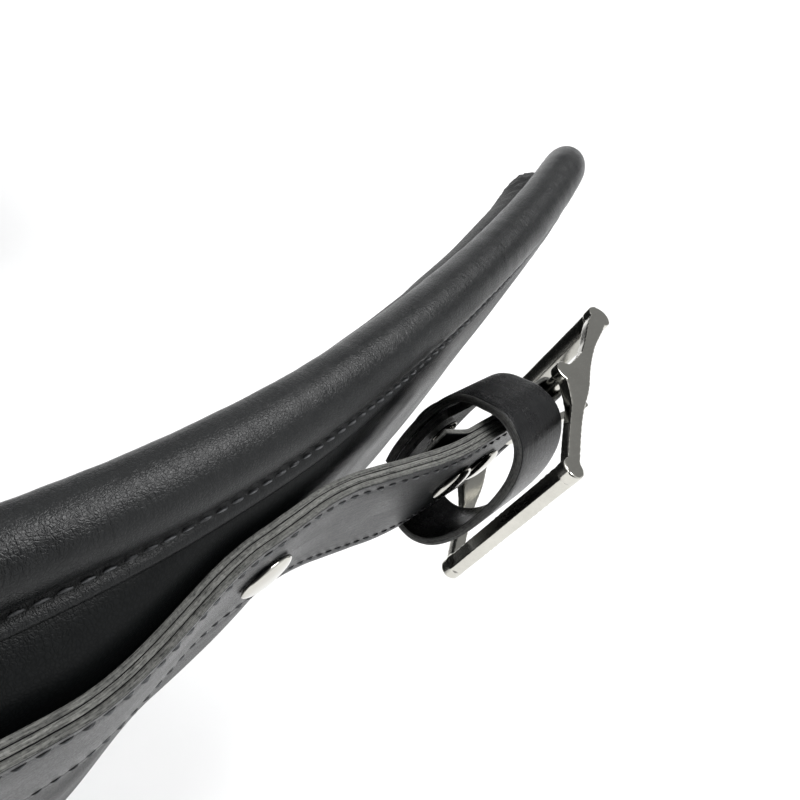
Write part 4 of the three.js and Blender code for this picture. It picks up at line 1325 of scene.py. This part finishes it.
def make_buckle():
    """The cast frame: two side rails braced to the centre bar, the heel bar and the roller's pin."""
    inner = BUCKLE_HALF_WIDTH - RAIL_THICK
    blanks = []
    for low, high in ((inner, BUCKLE_HALF_WIDTH), (-BUCKLE_HALF_WIDTH, -inner)):
        blanks.append(prism(bent_strip(HEEL_POINT, RAIL_BEND, ROLLER_POINT, rail_width), low, high))
        blanks.append(rod((0, 0), BAR_BOSS_RADIUS, low + 0.1, high - 0.1))
        for share, way in ((0.27, 0.62), (0.72, 0.58)):
            rest = 1 - share
            reach = rest**2 * HEEL_POINT + 2 * share * rest * RAIL_BEND + share**2 * ROLLER_POINT
            brace = bent_strip(np.zeros(2), RAIL_BEND * way, reach, brace_width, 24)
            blanks.append(prism(brace, low, high))
        blanks.append(rod(ROLLER_POINT, HOOK_RADIUS, low, high))
        blanks.append(rod(HEEL_POINT, CORNER_RADIUS, low, high))
    blanks.append(rod((0, 0), BAR_RADIUS, -inner - 1, inner + 1))
    blanks.append(rod(ROLLER_POINT, ROLLER_PIN, -inner - 1, inner + 1))
    heel_way = unit(HEEL_POINT)
    side_way = np.array([-heel_way[1], heel_way[0]])
    corners = [(-2.6, -1.7), (2.4, -1.7), (2.4, 1.9), (-2.6, 1.9)]
    heel = [HEEL_POINT + heel_way * a + side_way * b for a, b in corners]
    blanks.append(prism(heel, -inner - 1.2, inner + 1.2))
    body = cast("buckle_casting", blanks, 0.26, 10, BUCKLE_NICKEL)
    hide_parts("buckle_frame")
    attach(body, "buckle")


def make_roller():
    """A thin tube with rounded rims and a faintly uneven outside."""
    half = BUCKLE_HALF_WIDTH - RAIL_THICK - 0.4
    rim = [(ROLLER_BORE, half - 0.1), (ROLLER_BORE + 0.2, half), (ROLLER_RADIUS - 0.5, half),
           (ROLLER_RADIUS - 0.15, half - 0.15), (ROLLER_RADIUS, half - 0.5)]
    outline = [(radius, -place) for radius, place in rim]
    for k in range(1, 12):
        place = -half + 0.5 + k * (2 * half - 1) / 12
        outline.append((ROLLER_RADIUS + 0.02 * math.sin(k * 2.1), place))
    outline += rim[::-1]
    centre = buckle_space([*ROLLER_POINT, 0])
    roller = lathe("buckle_roller_tube", outline, centre, BAR_AXES[:, 2], BAR_AXES[:, 0], [ROLLER_NICKEL],
                   segments=56)
    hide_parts("buckle_roller")
    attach(roller, "roller")


def make_prong():
    """A bent blade with an eye that runs on the centre bar."""
    t = np.linspace(0, 1, 30)
    along = 2.9 + t * (PRONG_LENGTH - 2.9)
    lift = 1.1 * np.sin(math.pi * t) - 1.2 * t**4
    half = lerp(1.5, 1.15, t)
    tip = [(lift[-1] + 0.6, PRONG_LENGTH + 0.9), (lift[-1] - 0.6, PRONG_LENGTH + 0.9)]
    outline = np.vstack([np.stack([lift + half, along], 1), tip, np.stack([lift - half, along], 1)[::-1]])
    cosine, sine = math.cos(PRONG_ANGLE), math.sin(PRONG_ANGLE)
    turn = np.array([[cosine, sine], [-sine, cosine]])
    outline = outline @ turn.T
    angles = np.linspace(0, 2 * math.pi, 48, endpoint=False)[:, None, None]
    ring = np.array([(PRONG_BORE, -2.9), (4, -2.9), (4, 2.9), (PRONG_BORE, 2.9)])
    radius, across = ring[:, 0][None, :, None], ring[:, 1][None, :, None]
    x_way, y_way, z_way = np.eye(3)
    rings = radius * (np.cos(angles) * x_way + np.sin(angles) * y_way) + across * z_way
    eye = grid_object("blank", buckle_space(rings), [], wrap_rows=True, wrap_columns=True)
    prong = cast("buckle_prong_blade", [prism(outline, -1.8, 1.8), eye], 0.25, 4, BUCKLE_NICKEL)
    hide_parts("buckle_prong")
    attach(prong, "prong")


# ---- pad assembly --------------------------------------------------------------------------------
def make_pad():
    for key, piece in make_panels().items():
        part, face = key.rsplit("_", 1)
        replaced = [f"{part}_{face}"] + ([f"{part}_foam"] if face == "cover" else [])
        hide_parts(*replaced)
        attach(piece, "pad")
    roll = make_roll()
    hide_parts("rim_roll_cover", "rim_roll_filler")
    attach(roll, "pad")
    seam_welts()
    for row in (roll_stitching(), seam_stitching()):
        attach(row, "pad")


def finish_hidden_nodes():
    """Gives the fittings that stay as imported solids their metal."""
    for name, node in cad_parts.items():
        if "rivet" in name:
            node.data.materials.clear()
            node.data.materials.append(RIVET_NICKEL)


# ---- studio --------------------------------------------------------------------------------------
CAMERA_PLACE = Vector((0.2349, -0.0133, 0.3547))
CAMERA_AIM = Vector((-0.28847, 0.62102, -0.72878))
CAMERA_DOWN = Vector((0.78515, -0.28222, -0.55127))
BACK_WALL = Vector((-0.29, 0.79, 0.54))
BOX_STRENGTH = 1.0
SUN_FROM = Vector((-0.12, 0.38, 0.92))


def make_camera():
    data = bpy.data.cameras.new("camera")
    data.sensor_width = 36
    data.lens = 31.3
    data.clip_start = 0.01
    camera = bpy.data.objects.new("camera", data)
    bpy.context.scene.collection.objects.link(camera)
    back = -CAMERA_AIM.normalized()
    right = (-CAMERA_DOWN).cross(back).normalized()
    up = back.cross(right)
    place = CAMERA_PLACE + Vector(SHIFT * MM)
    camera.matrix_world = Matrix((
        (right.x, up.x, back.x, place.x),
        (right.y, up.y, back.y, place.y),
        (right.z, up.z, back.z, place.z),
        (0, 0, 0, 1),
    ))
    bpy.context.scene.camera = camera


def make_floor():
    size = 12.0
    s = Shader("pale_floor", Roughness=0.9, Specular_IOR_Level=0.1)
    grain = s.noise(s.coordinates("Object"), 30.0, 3.0)
    s.link(s.colours(grain, (0.90, 0.90, 0.90), (0.93, 0.93, 0.93)), "Base Color")
    corners = np.array([(-size, -size, 0), (size, -size, 0), (size, size, 0), (-size, size, 0)]) / MM
    floor = make_object("floor", corners, [[0, 1, 2, 3]], None, [s.material])


def sky_patch(tree, way, direction, inner, outer):
    """1 inside a round patch of the light box and 0 outside it, from the cosines of its two edges."""
    dot = tree.nodes.new("ShaderNodeVectorMath")
    dot.operation = "DOT_PRODUCT"
    dot.inputs[1].default_value = tuple(Vector(direction).normalized())
    tree.links.new(way.outputs["Generated"], dot.inputs[0])
    fade = tree.nodes.new("ShaderNodeMapRange")
    fade.interpolation_type = "SMOOTHSTEP"
    tree.links.new(dot.outputs["Value"], fade.inputs[0])
    fade.inputs[1].default_value = outer
    fade.inputs[2].default_value = inner
    return fade.outputs[0]


def make_light():
    """A white light box under a wide overhead light, darker towards the camera and behind the pad."""
    world = bpy.data.worlds.new("light_box")
    bpy.context.scene.world = world
    world.use_nodes = True
    tree = world.node_tree
    background = tree.nodes["Background"]
    way = tree.nodes.new("ShaderNodeTexCoord")
    patches = [(-CAMERA_AIM, 0.90, 0.45, 0.04), (BACK_WALL, 0.93, 0.62, 0.26)]
    strength = None
    for direction, inner, outer, dimmed in patches:
        mix = tree.nodes.new("ShaderNodeMix")
        tree.links.new(sky_patch(tree, way, direction, inner, outer), mix.inputs["Factor"])
        if strength is None:
            mix.inputs["A"].default_value = BOX_STRENGTH
        else:
            tree.links.new(strength, mix.inputs["A"])
        mix.inputs["B"].default_value = dimmed
        strength = mix.outputs["Result"]
    tree.links.new(strength, background.inputs["Strength"])
    background.inputs["Color"].default_value = (0.98, 0.99, 1.0, 1)
    sun = bpy.data.lights.new("overhead_panel", "SUN")
    sun.energy = 3.3
    sun.angle = math.radians(34)
    lamp = bpy.data.objects.new("overhead_panel", sun)
    lamp.rotation_euler = (-SUN_FROM).to_track_quat("-Z", "Y").to_euler()
    bpy.context.scene.collection.objects.link(lamp)


make_camera()
make_floor()
make_light()
make_pad()
make_straps()
make_keeper()
make_rivets()
make_buckle()
make_roller()
make_prong()
finish_hidden_nodes()
bpy.context.scene.view_settings.view_transform = "Standard"

bpy.context.view_layer.update()
